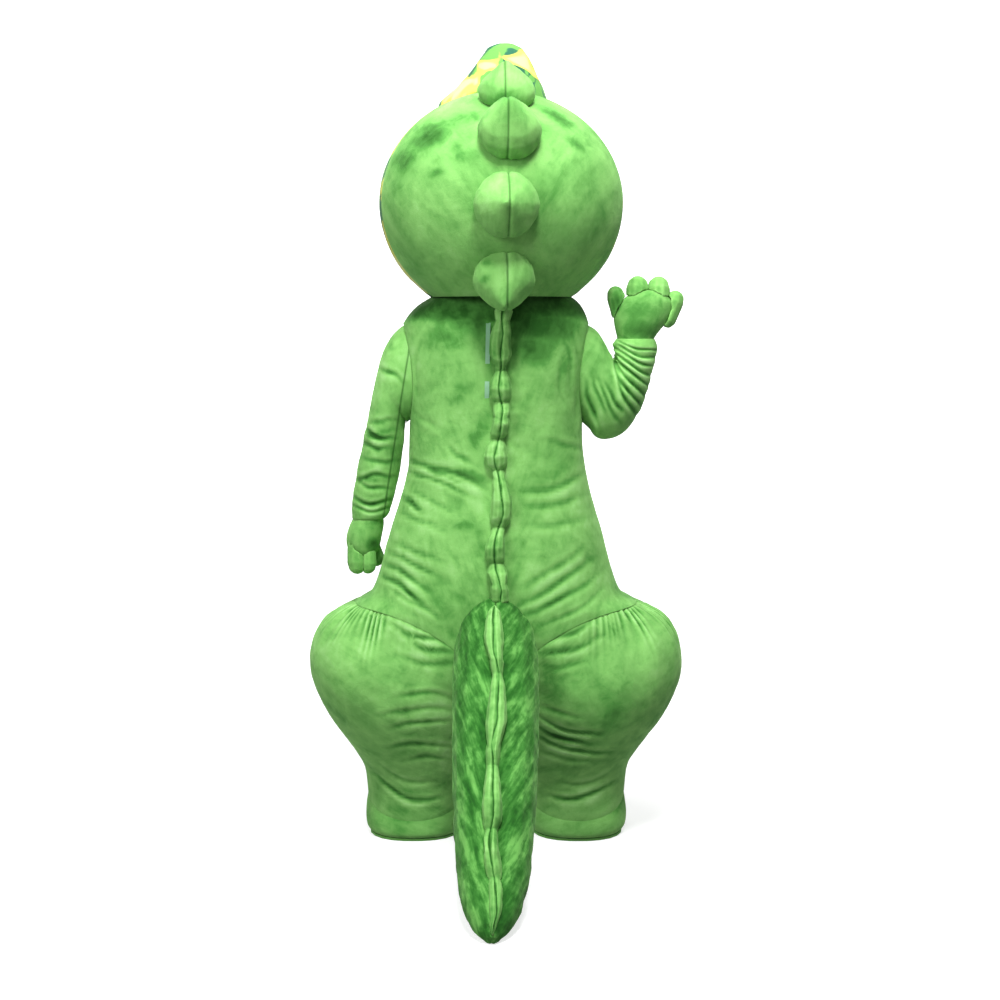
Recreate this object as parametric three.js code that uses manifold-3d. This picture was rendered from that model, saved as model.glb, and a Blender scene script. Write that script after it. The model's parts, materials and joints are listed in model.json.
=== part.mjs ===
// Dinosaur mascot costume, filled out as it is worn, in millimetres.
// X points to the wearer's left, -Y to the front, Z up. The floor is Z = 0 while the pieces are
// worked out, and the whole costume is moved at the end so that the wearer's hold is the origin.
import * as THREE from "three";
import Module from "manifold-3d";

const wasm = await Module();
wasm.setup();

// Driving sizes
const HOLD = 1340; // height of the wearer's shoulders above the floor
const SEAM = 0.15; // each piece stands back this far from a seam
const CLEAR = 0.3; // room under a piece that is sewn on top of another
const CLOTH = 3; // plush with its backing
const FOAM = 12; // head shell: foam sheet covered in plush
const HEAD = { x: -13, y: 0, z: 1637, a: 318, b: 300, c: 288, rim: 1402, yaw: 3 };
const GORE = 76; // degrees round from the back where the back gores meet the front panel
const ARM = { top: 1335, low: 1080, half: 78 };
const HIP_IN = 430; // height of the crotch
const HIP_OUT = 612; // height of the hip seam at the side
const SOLE = 6;
const WAVES = 8; // gathers along each quarter of the hip seam
const WAVE = 7; // height of a gather

const GREEN = 0x5fb446;
const DARK = 0x3f8f35;

// Small helpers
const rad = (d) => (d * Math.PI) / 180;
const vec = (x, y, z) => new THREE.Vector3(x, y, z);
const mix = (a, b, t) => a + (b - a) * t;
const clamp = (v, a, b) => Math.min(b, Math.max(a, v));
const smooth = (a, b, v) => {
  const t = clamp((v - a) / (b - a), 0, 1);
  return t * t * (3 - 2 * t);
};
const span = (n, f) => Array.from({ length: n }, (_, i) => f(i, i / (n - 1)));
const power = (v, e) => Math.sign(v) * Math.abs(v) ** e;

// Reads a table by its first column with a smooth curve through the rows.
function curve(table, key, value) {
  const rows = [...table].sort((a, b) => a[key] - b[key]);
  const slope = (i) => {
    if (i === 0 || i === rows.length - 1) return null;
    const left = (rows[i][value] - rows[i - 1][value]) / (rows[i][key] - rows[i - 1][key]);
    const right = (rows[i + 1][value] - rows[i][value]) / (rows[i + 1][key] - rows[i][key]);
    return left * right <= 0 ? 0 : (2 * left * right) / (left + right);
  };
  return (k) => {
    if (k <= rows[0][key]) return rows[0][value];
    if (k >= rows.at(-1)[key]) return rows.at(-1)[value];
    const i = rows.findIndex((r, n) => n > 0 && k <= r[key]) - 1;
    const wide = rows[i + 1][key] - rows[i][key];
    const rise = (rows[i + 1][value] - rows[i][value]) / wide;
    const m0 = slope(i) ?? rise;
    const m1 = slope(i + 1) ?? rise;
    const t = (k - rows[i][key]) / wide;
    const h = t * t * (3 - 2 * t);
    return mix(rows[i][value], rows[i + 1][value], h)
      + wide * (m0 * t * (1 - t) ** 2 - m1 * t * t * (1 - t));
  };
}

// A sheet is a list of rows of points {p, n}: a place and the direction out of the cloth.
const dot = (p, n) => ({ p, n });
const moved = (q, d) => dot(q.p.clone().addScaledVector(q.n, d), q.n);

// Works out the directions of a sheet from the function that gives its places.
function point(f, u, v) {
  const e = 1e-4;
  const du = f(u + e, v).sub(f(u - e, v));
  const dv = f(u, v + e).sub(f(u, v - e));
  return dot(f(u, v), du.cross(dv).normalize());
}

// Joins two rows that may have different numbers of points.
function band(a, b, closed, tri) {
  const n = closed ? a.length : a.length - 1;
  const m = closed ? b.length : b.length - 1;
  let i = 0;
  let j = 0;
  while (i < n || j < m) {
    const takeA = j >= m || (i < n && (i + 1) / n <= (j + 1) / m + 1e-9);
    if (takeA) {
      tri.push([a[i], a[(i + 1) % a.length], b[j % b.length]]);
      i += 1;
    } else {
      tri.push([a[i % a.length], b[(j + 1) % b.length], b[j]]);
      j += 1;
    }
  }
}

function solidOf(points, tri) {
  const mesh = (list) => new wasm.Mesh({
    numProp: 3,
    vertProperties: new Float32Array(points.flatMap((p) => [p.x, p.y, p.z])),
    triVerts: new Uint32Array(list.flat()),
  });
  const solid = new wasm.Manifold(mesh(tri));
  if (solid.volume() > 0) return solid;
  return new wasm.Manifold(mesh(tri.map(([a, b, c]) => [a, c, b])));
}

// A wall of cloth: the sheet outside, the same sheet moved in by its thickness inside.
function wall(rows, thick, { closed = false, lift = 0 } = {}) {
  const points = [];
  const add = (q, d) => points.push(moved(q, d).p) - 1;
  const outer = rows.map((r) => r.map((q) => add(q, lift)));
  const inner = rows.map((r) => r.map((q) => add(q, lift - thick)));
  const tri = [];
  const back = [];
  for (let r = 0; r + 1 < rows.length; r += 1) {
    band(outer[r], outer[r + 1], closed, tri);
    band(inner[r], inner[r + 1], closed, back);
  }
  tri.push(...back.map(([a, b, c]) => [a, c, b]));
  const strip = (o, i, flip) => {
    for (let k = 0; k + 1 < o.length; k += 1) {
      const quad = [[o[k], i[k], i[k + 1]], [o[k], i[k + 1], o[k + 1]]];
      tri.push(...quad.map(([a, b, c]) => (flip ? [a, c, b] : [a, b, c])));
    }
  };
  const round = (r) => (closed ? [...r, r[0]] : r);
  strip(round(outer[0]), round(inner[0]), false);
  strip(round(outer.at(-1)), round(inner.at(-1)), true);
  if (!closed) {
    strip(outer.map((r) => r[0]), inner.map((r) => r[0]), true);
    strip(outer.map((r) => r.at(-1)), inner.map((r) => r.at(-1)), false);
  }
  return solidOf(points, tri);
}

// A stuffed piece: closed rings of places, each end drawn to one point.
function stuffed(rings) {
  const points = rings.flat();
  const tri = [];
  const at = [];
  let n = 0;
  for (const ring of rings) {
    at.push(ring.map((_, i) => n + i));
    n += ring.length;
  }
  for (let r = 0; r + 1 < rings.length; r += 1) band(at[r], at[r + 1], true, tri);
  const cap = (ring, ids, flip) => {
    if (ring.length < 3) return;
    const mid = ring.reduce((s, p) => s.add(p), vec(0, 0, 0)).divideScalar(ring.length);
    const c = points.push(mid) - 1;
    ids.forEach((id, k) => {
      const next = ids[(k + 1) % ids.length];
      tri.push(flip ? [id, next, c] : [next, id, c]);
    });
  };
  cap(rings[0], at[0], false);
  cap(rings.at(-1), at.at(-1), true);
  return solidOf(points, tri);
}

// Keeps the largest body after a cut.
function cutBy(solid, ...cutters) {
  let left = solid;
  for (const c of cutters) left = left.subtract(c);
  const bodies = left.decompose();
  return bodies.reduce((best, b) => (b.volume() > best.volume() ? b : best));
}

// Moves the edges of a sheet back from its seams.
function trim(rows, { first = true, last = true, sides = true } = {}) {
  const out = rows.map((r) => r.map((q) => dot(q.p.clone(), q.n)));
  const pull = (q, from, to, by) => {
    q.p.addScaledVector(to.clone().sub(from).normalize(), by);
  };
  const near = (row, t) => row[Math.round(t * (row.length - 1))].p;
  if (sides) {
    rows.forEach((r, k) => {
      if (r.length < 3) return;
      pull(out[k][0], r[0].p, r[1].p, SEAM);
      pull(out[k].at(-1), r.at(-1).p, r.at(-2).p, SEAM);
    });
  }
  const end = (k, other) => {
    rows[k].forEach((q, i) => {
      const t = rows[k].length > 1 ? i / (rows[k].length - 1) : 0.5;
      pull(out[k][i], q.p, near(rows[other], t), SEAM * (rows[k].length > 1 ? 1 : 2.4));
    });
  };
  if (first) end(0, 1);
  if (last) end(rows.length - 1, rows.length - 2);
  return out;
}

// Gives two edges that are sewn together one shared direction out of the cloth.
function share(a, b) {
  a.forEach((q, i) => {
    const n = q.n.clone().add(b[i].n).normalize();
    q.n = n;
    b[i].n = n;
  });
}

// Head
const headAt = (phi, lat) => {
  const p = vec(
    HEAD.a * Math.cos(lat) * Math.sin(phi),
    HEAD.b * Math.cos(lat) * Math.cos(phi),
    HEAD.c * Math.sin(lat),
  );
  return p.applyAxisAngle(vec(0, 0, 1), rad(HEAD.yaw)).add(vec(HEAD.x, HEAD.y, HEAD.z));
};
const RIM_LAT = Math.asin((HEAD.rim - HEAD.z) / HEAD.c);
function headGore(from, to, columns) {
  const rows = span(12, (_, t) => {
    const lat = mix(RIM_LAT, Math.PI / 2, t);
    if (t === 1) return [dot(headAt(mix(from, to, 0.5), lat), vec(0, 0, 1))];
    return span(columns, (i, s) => point((u, v) => headAt(-u, v), -mix(from, to, s), lat));
  });
  return rows.map((r) => r.map((q) => dot(q.p, outward(q))));
}
function outward(q) {
  const c = vec(HEAD.x, HEAD.y, HEAD.z);
  return q.p.clone().sub(c).dot(q.n) < 0 ? q.n.clone().negate() : q.n;
}
const goreLeft = headGore(0, rad(GORE), 8);
const goreRight = headGore(rad(-GORE), 0, 8);
const goreFront = headGore(rad(GORE), rad(360 - GORE), 16);

// The whole head as one closed skin, for what sits on it.
function headSkin(lift) {
  const rows = goreLeft.map((r, k) => {
    if (r.length === 1) return [moved(r[0], lift).p];
    const all = [...r, ...goreFront[k].slice(1), ...goreRight[k].slice(1, -1)];
    return all.map((q) => moved(q, lift).p);
  });
  return stuffed(rows);
}

// Spikes: up is the angle above the level line from the head's middle, straight back.
// Turn is its angle round from the head's middle line, lean how far its tip bends up.
const SPIKES = [
  { up: 63, turn: -3, base: 70, tall: 94, lean: 0.02 },
  { up: 32.5, turn: -1.6, base: 77, tall: 112, lean: 0.16 },
  { up: -4, turn: 0.5, base: 79, tall: 114, lean: 0.06 },
  { up: -41, turn: 1, base: 76, tall: 110, lean: -0.05 },
];
// Three places up the height, with the share of the base's width there.
const SPIKE_FORM = [
  { at: -0.35, wide: 0.88 },
  { at: 0.0, wide: 0.98 },
  { at: 0.2, wide: 1.0 },
  { at: 0.43, wide: 0.86 },
  { at: 0.66, wide: 0.58 },
  { at: 0.86, wide: 0.25 },
];
function spike(s) {
  const lat = rad(s.up);
  const seat = headAt(rad(s.turn), lat);
  const out = vec(0.02, Math.cos(lat), Math.sin(lat) + s.lean).normalize();
  const across = vec(1, 0, 0);
  const along = out.clone().cross(across).normalize();
  const rings = SPIKE_FORM.map((row) => span(16, (i) => {
    const a = (i / 16) * 2 * Math.PI;
    // the seam runs up and down the piece, drawn in a little
    const pinch = 1 - 0.07 * Math.exp(-(((Math.abs(Math.cos(a)) - 1) / 0.06) ** 2));
    const r = s.base * row.wide * pinch;
    return seat.clone()
      .addScaledVector(out, s.tall * row.at)
      .addScaledVector(along, r * Math.cos(a) * 1.04)
      .addScaledVector(across, r * Math.sin(a));
  }));
  rings.push([seat.clone().addScaledVector(out, s.tall)]);
  return stuffed(rings);
}

// Crest: a stuffed dome in front of the crown; left and right are its edges seen from the back.
const CREST = [
  { z: 1780, left: 170, right: -160, front: -190, back: 40 },
  { z: 1850, left: 158, right: -150, front: -188, back: 30 },
  { z: 1905, left: 148, right: -136, front: -182, back: 10 },
  { z: 1945, left: 104, right: -122, front: -172, back: -8 },
  { z: 1985, left: 66, right: -103, front: -158, back: -24 },
  { z: 2020, left: 40, right: -86, front: -142, back: -40 },
  { z: 2045, left: 22, right: -68, front: -124, back: -56 },
  { z: 2056, left: -4, right: -44, front: -104, back: -76 },
];
const crestRings = CREST.map((c) => span(16, (i) => {
  const a = (i / 16) * 2 * Math.PI;
  const x = mix(c.right, c.left, 0.5 + 0.5 * power(Math.cos(a), 0.9));
  const y = mix(c.front, c.back, 0.5 + 0.5 * power(Math.sin(a), 0.9));
  return vec(x, y, c.z);
}));

// Body: half-width and depths to the back and the front at each height.
const BODY = [
  { z: 1442, half: 112, back: 92, front: 96, mid: -13 },
  { z: 1424, half: 140, back: 104, front: 106, mid: -13 },
  { z: 1402, half: 182.2, back: 117, front: 118, mid: -13 },
  { z: 1385, half: 208, back: 130, front: 132, mid: -8 },
  { z: 1360, half: 228, back: 142, front: 146, mid: -3 },
  { z: 1335, half: 240, back: 152, front: 156, mid: 0 },
  { z: 1250, half: 236, back: 166, front: 176, mid: 0 },
  { z: 1160, half: 229, back: 170, front: 186, mid: 0 },
  { z: 1080, half: 225, back: 172, front: 196, mid: 0 },
  { z: 1007, half: 227, back: 176, front: 210, mid: 0 },
  { z: 927, half: 239, back: 186, front: 228, mid: 0 },
  { z: 860, half: 257, back: 200, front: 248, mid: 0 },
  { z: 800, half: 276, back: 212, front: 266, mid: 0 },
  { z: 718, half: 298, back: 224, front: 288, mid: 0 },
  { z: 660, half: 313, back: 230, front: 298, mid: 0 },
  { z: 630, half: 333, back: 232, front: 300, mid: 0 },
  { z: 612, half: 368, back: 232, front: 300, mid: 0 },
  { z: 520, half: 376, back: 230, front: 290, mid: 0 },
  { z: 430, half: 376, back: 224, front: 276, mid: 0 },
];
const bodyHalf = curve(BODY, "z", "half");
const bodyBack = curve(BODY, "z", "back");
const bodyFront = curve(BODY, "z", "front");
const bodyMid = curve(BODY, "z", "mid");
const SQUARE = 0.86; // below 1 the section is fuller than an ellipse

// Creases pressed into the body, each a line on it: x and z at both ends, width and depth.
const CREASES = [
  { x1: 232, z1: 955, x2: 60, z2: 905, wide: 26, deep: 6 },
  { x1: 225, z1: 905, x2: 90, z2: 850, wide: 24, deep: 5 },
  { x1: 262, z1: 700, x2: 90, z2: 742, wide: 26, deep: 5 },
  { x1: -270, z1: 690, x2: -80, z2: 745, wide: 28, deep: 5 },
  { x1: -262, z1: 800, x2: -110, z2: 838, wide: 26, deep: 4 },
  { x1: -170, z1: 1330, x2: -188, z2: 1090, wide: 26, deep: 6 },
  { x1: 176, z1: 1320, x2: 196, z2: 1100, wide: 26, deep: 5 },
  { x1: -222, z1: 1010, x2: -80, z2: 1060, wide: 24, deep: 4 },
];
function creased(x, z, list) {
  let depth = 0;
  for (const c of list) {
    const dx = c.x2 - c.x1;
    const dz = c.z2 - c.z1;
    const t = clamp(((x - c.x1) * dx + (z - c.z1) * dz) / (dx * dx + dz * dz), 0, 1);
    const d = Math.hypot(x - c.x1 - t * dx, z - c.z1 - t * dz) / c.wide;
    depth += c.deep * Math.exp(-d * d) * (1 - 0.5 * t);
  }
  return depth;
}

// A place on the body: angle 0 is the centre back, 90 degrees the wearer's left side.
function bodyAt(phi, z) {
  const back = Math.cos(phi) >= 0;
  const s = power(Math.sin(phi), SQUARE);
  const c = power(Math.cos(phi), SQUARE);
  const x = bodyHalf(z) * s;
  const dent = 1 - creased(x, z, CREASES) / 200;
  return vec(x * dent + bodyMid(z), (back ? bodyBack(z) : bodyFront(z)) * c * dent, z);
}
// the hip seam is nearly level at the side and dips to the crotch behind the tail
const hipZ = (x) => {
  const t = Math.min(1, Math.abs(x) / 368);
  return HIP_IN + (HIP_OUT - HIP_IN) * (1 - (1 - t) ** 2.2);
};

// The angle of the side edge: the side seam, or the edge of the armhole where there is one.
function armEdge(z, side) {
  const mid = (ARM.top + ARM.low) / 2;
  const h = (ARM.top - ARM.low) / 2;
  const t = (z - mid) / h;
  if (Math.abs(t) >= 1) return Math.PI / 2;
  const y = ARM.half * Math.sqrt(1 - t * t);
  const depth = side > 0 ? bodyBack(z) : bodyFront(z);
  return Math.acos((y / depth) ** (1 / SQUARE));
}
const ARM_STEPS = 8; // heights down one side of an armhole
const armZ = span(ARM_STEPS, (_, t) => {
  return (ARM.top + ARM.low) / 2 + ((ARM.top - ARM.low) / 2) * Math.cos(Math.PI * t);
});
const bodyRows = [1442, 1422, 1402, 1384, 1360, ...armZ, 1025, 965, 900, 835, 770, 706, 650];
const QUARTER = 11; // places across a quarter of the back
const FRONT = 7; // and of the front
const ARM_EDGES = { left: [], right: [] };

// One quarter of the body, from its centre (s = 0) to its side (s = 1).
function bodyQuarter(sign, back) {
  const turn = (a) => (back ? a : Math.PI - a) * sign;
  const at = (a, z) => {
    const q = point((u, v) => bodyAt(u, v), turn(a), z);
    const c = vec(0, 0, z);
    if (q.p.clone().sub(c).dot(q.n) < 0) q.n.negate();
    return q;
  };
  const rows = bodyRows.map((z) => {
    const edge = armEdge(z, back ? 1 : -1);
    return span(back ? QUARTER : FRONT, (_, s) => at(edge * s ** 0.92, z));
  });
  // the hip seam slopes from the side down to the crotch
  rows.push(span(QUARTER, (_, s) => {
    const a = (Math.PI / 2) * s ** 0.92;
    let z = HIP_OUT;
    for (let k = 0; k < 12; k += 1) z = hipZ(bodyAt(turn(a), z).x);
    return at(a, z);
  }));
  // rows just above it follow the same slope part of the way
  const low = rows.at(-1);
  const top = rows.at(-2);
  const half = top.map((q, i) => {
    const t = i / (top.length - 1);
    const under = low[Math.round(t * (low.length - 1))];
    return at((Math.PI / 2) * t ** 0.92, mix(q.p.z, under.p.z, 0.5));
  });
  rows.splice(rows.length - 1, 0, half);
  return rows;
}
const quarter = {
  backLeft: bodyQuarter(1, true),
  backRight: bodyQuarter(-1, true),
  frontLeft: bodyQuarter(1, false),
  frontRight: bodyQuarter(-1, false),
};
// side seams share their directions
for (const [b, f] of [["backLeft", "frontLeft"], ["backRight", "frontRight"]]) {
  share(quarter[b].map((r) => r.at(-1)), quarter[f].map((r) => r.at(-1)));
}
const joinRows = (a, b) => a.map((r, k) => [...r.slice(1).reverse(), ...b[k]]);

// Legs: sections from the hip to the ankle. Outer and inner edges, then depths.
const LEG = [
  { zo: 588, zi: 398, xo: 428, xi: 3, back: 236, front: 298, d: 0.8 },
  { zo: 552, zi: 366, xo: 464, xi: 6, back: 240, front: 300, d: 0.5 },
  { zo: 500, zi: 326, xo: 486, xi: 10, back: 240, front: 296, d: 0.25 },
  { zo: 440, zi: 292, xo: 490, xi: 18, back: 232, front: 284, d: 0.1 },
  { zo: 385, zi: 262, xo: 476, xi: 28, back: 218, front: 264, d: 0 },
  { zo: 330, zi: 232, xo: 452, xi: 40, back: 200, front: 240, d: 0 },
  { zo: 275, zi: 200, xo: 416, xi: 56, back: 180, front: 214, d: 0 },
  { zo: 225, zi: 170, xo: 374, xi: 70, back: 160, front: 190, d: 0 },
  { zo: 182, zi: 142, xo: 348, xi: 80, back: 144, front: 172, d: 0 },
  { zo: 140, zi: 116, xo: 343, xi: 84, back: 132, front: 160, d: 0 },
];
const HEM = { zo: 104, zi: 96, xo: 340, xi: 86, back: 126, front: 148, low: 52, high: 150 };
const ARC = QUARTER - 1; // steps along the hip seam
const FORK = 3; // steps along the crotch line
const FINE = 32; // steps where the cloth is gathered

const LEG_CREASES = [
  { x1: 150, z1: 300, x2: 300, z2: 240, wide: 22, deep: 6 },
  { x1: 120, z1: 400, x2: 230, z2: 330, wide: 24, deep: 5 },
  { x1: 400, z1: 290, x2: 250, z2: 215, wide: 24, deep: 6 },
  { x1: 330, z1: 172, x2: 140, z2: 160, wide: 16, deep: 6 },
];
// A place on a leg section: t = 0 is the outer edge, t = 1 the inner edge.
function legAt(sec, t, back, sign, gather) {
  const depth = back ? sec.back : sec.front;
  const share0 = ARC / (ARC + FORK);
  const round = Math.PI * t;
  const ex = 0.5 + 0.5 * power(Math.cos(round), 0.94);
  const ey = Math.sin(round) ** 0.9;
  const s = Math.min(1, t / share0);
  const a = (Math.PI / 2) * (1 - s) ** 0.92;
  const dx = t < share0 ? Math.sin(a) ** SQUARE : 0;
  const dy = t < share0 ? Math.cos(a) ** SQUARE : 1 - (t - share0) / (1 - share0);
  const fx = mix(ex, dx, sec.d);
  const fy = mix(ey, dy, sec.d);
  let x = mix(sec.xi, sec.xo, fx);
  const z = mix(sec.zi, sec.zo, fx) + (sec.tilt ?? 0) * fy * (back ? -1 : 1);
  const wave = gather ? gather * Math.sin(t * WAVES * 6.28 + 1.1 * Math.sin(t * 11)) : 0;
  const dent = creased(x, z, LEG_CREASES);
  const y = (depth + wave * fy - dent) * fy;
  x += (wave - dent * 0.4) * (fx - 0.4);
  return vec(x * sign, y * (back ? 1 : -1), z);
}
const LEG_STEPS = 12;
function legPanel(sign, back) {
  const q = quarter[(back ? "back" : "front") + (sign > 0 ? "Left" : "Right")];
  const seam = q.at(-1).slice().reverse().map((e) => dot(e.p.clone(), e.n));
  const depth = seam.at(-1).p.y;
  seam.at(-1).p.x = 0;
  for (let k = 1; k <= FORK; k += 1) {
    seam.push(dot(vec(0, depth * (1 - k / FORK), HIP_IN), vec(-sign, 0, -0.6).normalize()));
  }
  const rows = [seam];
  LEG.forEach((sec, k) => {
    const fine = k < 3;
    const amount = [0.75, 1, 0.5][k] ?? 0;
    const count = fine ? FINE + 1 : LEG_STEPS + (k === 3 ? 8 : 0);
    const gather = amount * WAVE;
    rows.push(span(count, (_, t) => {
      const f = (u) => legAt(sec, clamp(u, 0, 1), back, sign, gather);
      const g = (u) => legAt(nextOf(k), clamp(u, 0, 1), back, sign, 0);
      return dot(f(t), across(f, g, t, sec, sign));
    }));
  });
  const hem = { ...HEM, d: 0, tilt: 0 };
  rows.push(span(LEG_STEPS, (_, t) => {
    const f = (u) => {
      const p = legAt(hem, clamp(u, 0, 1), back, sign, 0);
      const s = Math.abs(p.y) / (back ? HEM.back : HEM.front);
      p.z = mix(p.z, back ? HEM.low : HEM.high, s ** 1.2);
      return p;
    };
    return dot(f(t), across(f, null, t, hem, sign));
  }));
  return rows;
}
const nextOf = (k) => LEG[k + 1] ?? { ...HEM, d: 0 };
// Direction out of a leg: square to the section's line and to the way down.
function across(f, g, t, sec, sign) {
  const e = 0.02;
  const round = f(Math.min(1, t + e)).sub(f(Math.max(0, t - e)));
  const p = f(t);
  const down = g ? g(t).sub(p) : vec(0, 0, -1);
  const n = round.cross(down).normalize();
  const c = vec((sign * (sec.xi + sec.xo)) / 2, 0, p.z);
  return p.sub(c).dot(n) < 0 ? n.negate() : n;
}
const legs = {};
for (const [side, sign] of [["left", 1], ["right", -1]]) {
  const back = legPanel(sign, true);
  const front = legPanel(sign, false);
  // the outer and inner seams lie in one line with one direction
  for (const end of [0, -1]) share(back.map((r) => r.at(end)), front.map((r) => r.at(end)));
  legs[side] = { back, front, sign };
  const Side = side === "left" ? "Left" : "Right";
  for (const [name, rows] of [["back", back], ["front", front]]) {
    const edge = quarter[name + Side].at(-1).slice().reverse();
    share(edge, rows[0].slice(0, edge.length));
  }
}

// Gloves: a hollow mitt from its wrist, inside the cuff, to its rounded end, and its digits.
const GLOVE_LEFT = {
  cuff: 829,
  mitt: [
    { x: 329, y: 0, z: 862, w: 36, b: 38 },
    { x: 331, y: 0, z: 838, w: 39, b: 42 },
    { x: 338, y: -2, z: 812, w: 47, b: 53 },
    { x: 346, y: -5, z: 782, w: 49, b: 58 },
    { x: 348, y: -8, z: 752, w: 45, b: 56 },
    { x: 347, y: -10, z: 730, w: 33, b: 44 },
    { x: 346, y: -10, z: 720, w: 14, b: 22 },
  ],
  digits: [
    { x1: 364, y1: 18, z1: 762, x2: 362, y2: 24, z2: 710, r: 26 },
    { x1: 335, y1: 18, z1: 750, x2: 334, y2: 24, z2: 708, r: 23 },
    { x1: 330, y1: -34, z1: 758, x2: 318, y2: -52, z2: 716, r: 23 },
    { x1: 352, y1: -44, z1: 790, x2: 336, y2: -74, z2: 762, r: 21 },
  ],
};
const GLOVE_RIGHT = {
  cuff: 1296,
  mitt: [
    { x: -357, y: 0, z: 1262, w: 42, b: 38 },
    { x: -360, y: 0, z: 1292, w: 46, b: 42 },
    { x: -365, y: 0, z: 1316, w: 58, b: 46 },
    { x: -374, y: 0, z: 1342, w: 75, b: 50 },
    { x: -382, y: 0, z: 1372, w: 77, b: 49 },
    { x: -390, y: 0, z: 1400, w: 64, b: 43 },
    { x: -392, y: 0, z: 1418, w: 36, b: 26 },
  ],
  digits: [
    { x1: -322, y1: 2, z1: 1352, x2: -309, y2: -4, z2: 1408, r: 23 },
    { x1: -364, y1: 8, z1: 1386, x2: -366, y2: -8, z2: 1428, r: 29 },
    { x1: -418, y1: 8, z1: 1386, x2: -420, y2: -8, z2: 1427, r: 29 },
    { x1: -442, y1: 2, z1: 1346, x2: -462, y2: -4, z2: 1396, r: 24 },
  ],
};
// Sleeves: edges seen from the back, half-depth, and the push of a fold.
const SLEEVE_LEFT = [
  { xo: 268, zo: 1312, xi: 231, zi: 1078, b: 82, fold: 0 },
  { xo: 292, zo: 1268, xi: 232, zi: 1082, b: 82, fold: 2 },
  { xo: 308, zo: 1215, xi: 232, zi: 1086, b: 79, fold: -2 },
  { xo: 322, zo: 1150, xi: 233, zi: 1084, b: 76, fold: 2 },
  { xo: 332, zo: 1096, xi: 235, zi: 1062, b: 73, fold: -3 },
  { xo: 343, zo: 1046, xi: 238, zi: 1030, b: 70, fold: 3 },
  { xo: 352, zo: 1004, xi: 243, zi: 992, b: 67, fold: -3 },
  { xo: 360, zo: 968, xi: 249, zi: 958, b: 65, fold: 3 },
  { xo: 367, zo: 934, xi: 256, zi: 924, b: 62, fold: -3 },
  { xo: 373, zo: 902, xi: 263, zi: 892, b: 60, fold: 3 },
  { xo: 378, zo: 872, xi: 270, zi: 864, b: 57, fold: -3 },
  { xo: 378, zo: 850, xi: 277, zi: 843, b: 54, fold: 2 },
  { xo: 377, zo: 838, xi: 283, zi: 836, b: 52, fold: 0 },
];
const SLEEVE_RIGHT = [
  { xo: -264, zo: 1320, xi: -243, zi: 1062, b: 78, fold: 0 },
  { xo: -280, zo: 1292, xi: -254, zi: 1036, b: 82, fold: 2 },
  { xo: -295, zo: 1266, xi: -290, zi: 1026, b: 80, fold: -2 },
  { xo: -302, zo: 1252, xi: -336, zi: 1050, b: 77, fold: 2 },
  { xo: -304, zo: 1246, xi: -366, zi: 1088, b: 73, fold: -3 },
  { xo: -303, zo: 1247, xi: -380, zi: 1120, b: 70, fold: 3 },
  { xo: -304, zo: 1250, xi: -391, zi: 1150, b: 67, fold: -3 },
  { xo: -302, zo: 1255, xi: -399, zi: 1178, b: 65, fold: 4 },
  { xo: -303, zo: 1260, xi: -406, zi: 1204, b: 63, fold: -4 },
  { xo: -301, zo: 1266, xi: -411, zi: 1228, b: 61, fold: 4 },
  { xo: -302, zo: 1273, xi: -416, zi: 1248, b: 58, fold: -4 },
  { xo: -301, zo: 1283, xi: -418, zi: 1266, b: 56, fold: 3 },
  { xo: -302, zo: 1287, xi: -419, zi: 1279, b: 55, fold: 0 },
];
const AROUND = 2 * (ARM_STEPS - 1);
function armLoop(sign) {
  // down the back edge from the top, then up the front edge
  const first = bodyRows.indexOf(ARM.top);
  const back = quarter[sign > 0 ? "backLeft" : "backRight"];
  const front = quarter[sign > 0 ? "frontLeft" : "frontRight"];
  const loop = [];
  for (let k = 0; k < ARM_STEPS; k += 1) loop.push(back[first + k].at(-1));
  for (let k = ARM_STEPS - 2; k > 0; k -= 1) loop.push(front[first + k].at(-1));
  return loop;
}
function cuffRing(glove) {
  const { mitt, cuff } = glove;
  const k = mitt.findIndex((m, n) => n > 0 && (m.z - cuff) * (mitt[0].z - cuff) <= 0);
  const t = (cuff - mitt[k - 1].z) / (mitt[k].z - mitt[k - 1].z);
  const at = (name) => mix(mitt[k - 1][name], mitt[k][name], t);
  return span(AROUND, (i) => {
    const a = (i / AROUND) * 2 * Math.PI;
    const n = vec(Math.cos(a) / at("w"), Math.sin(a) / at("b"), 0).normalize();
    const p = vec(at("x") + at("w") * Math.cos(a), at("y") + at("b") * Math.sin(a), cuff);
    return dot(p.addScaledVector(n, CLOTH + 0.35), n);
  });
}
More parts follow.
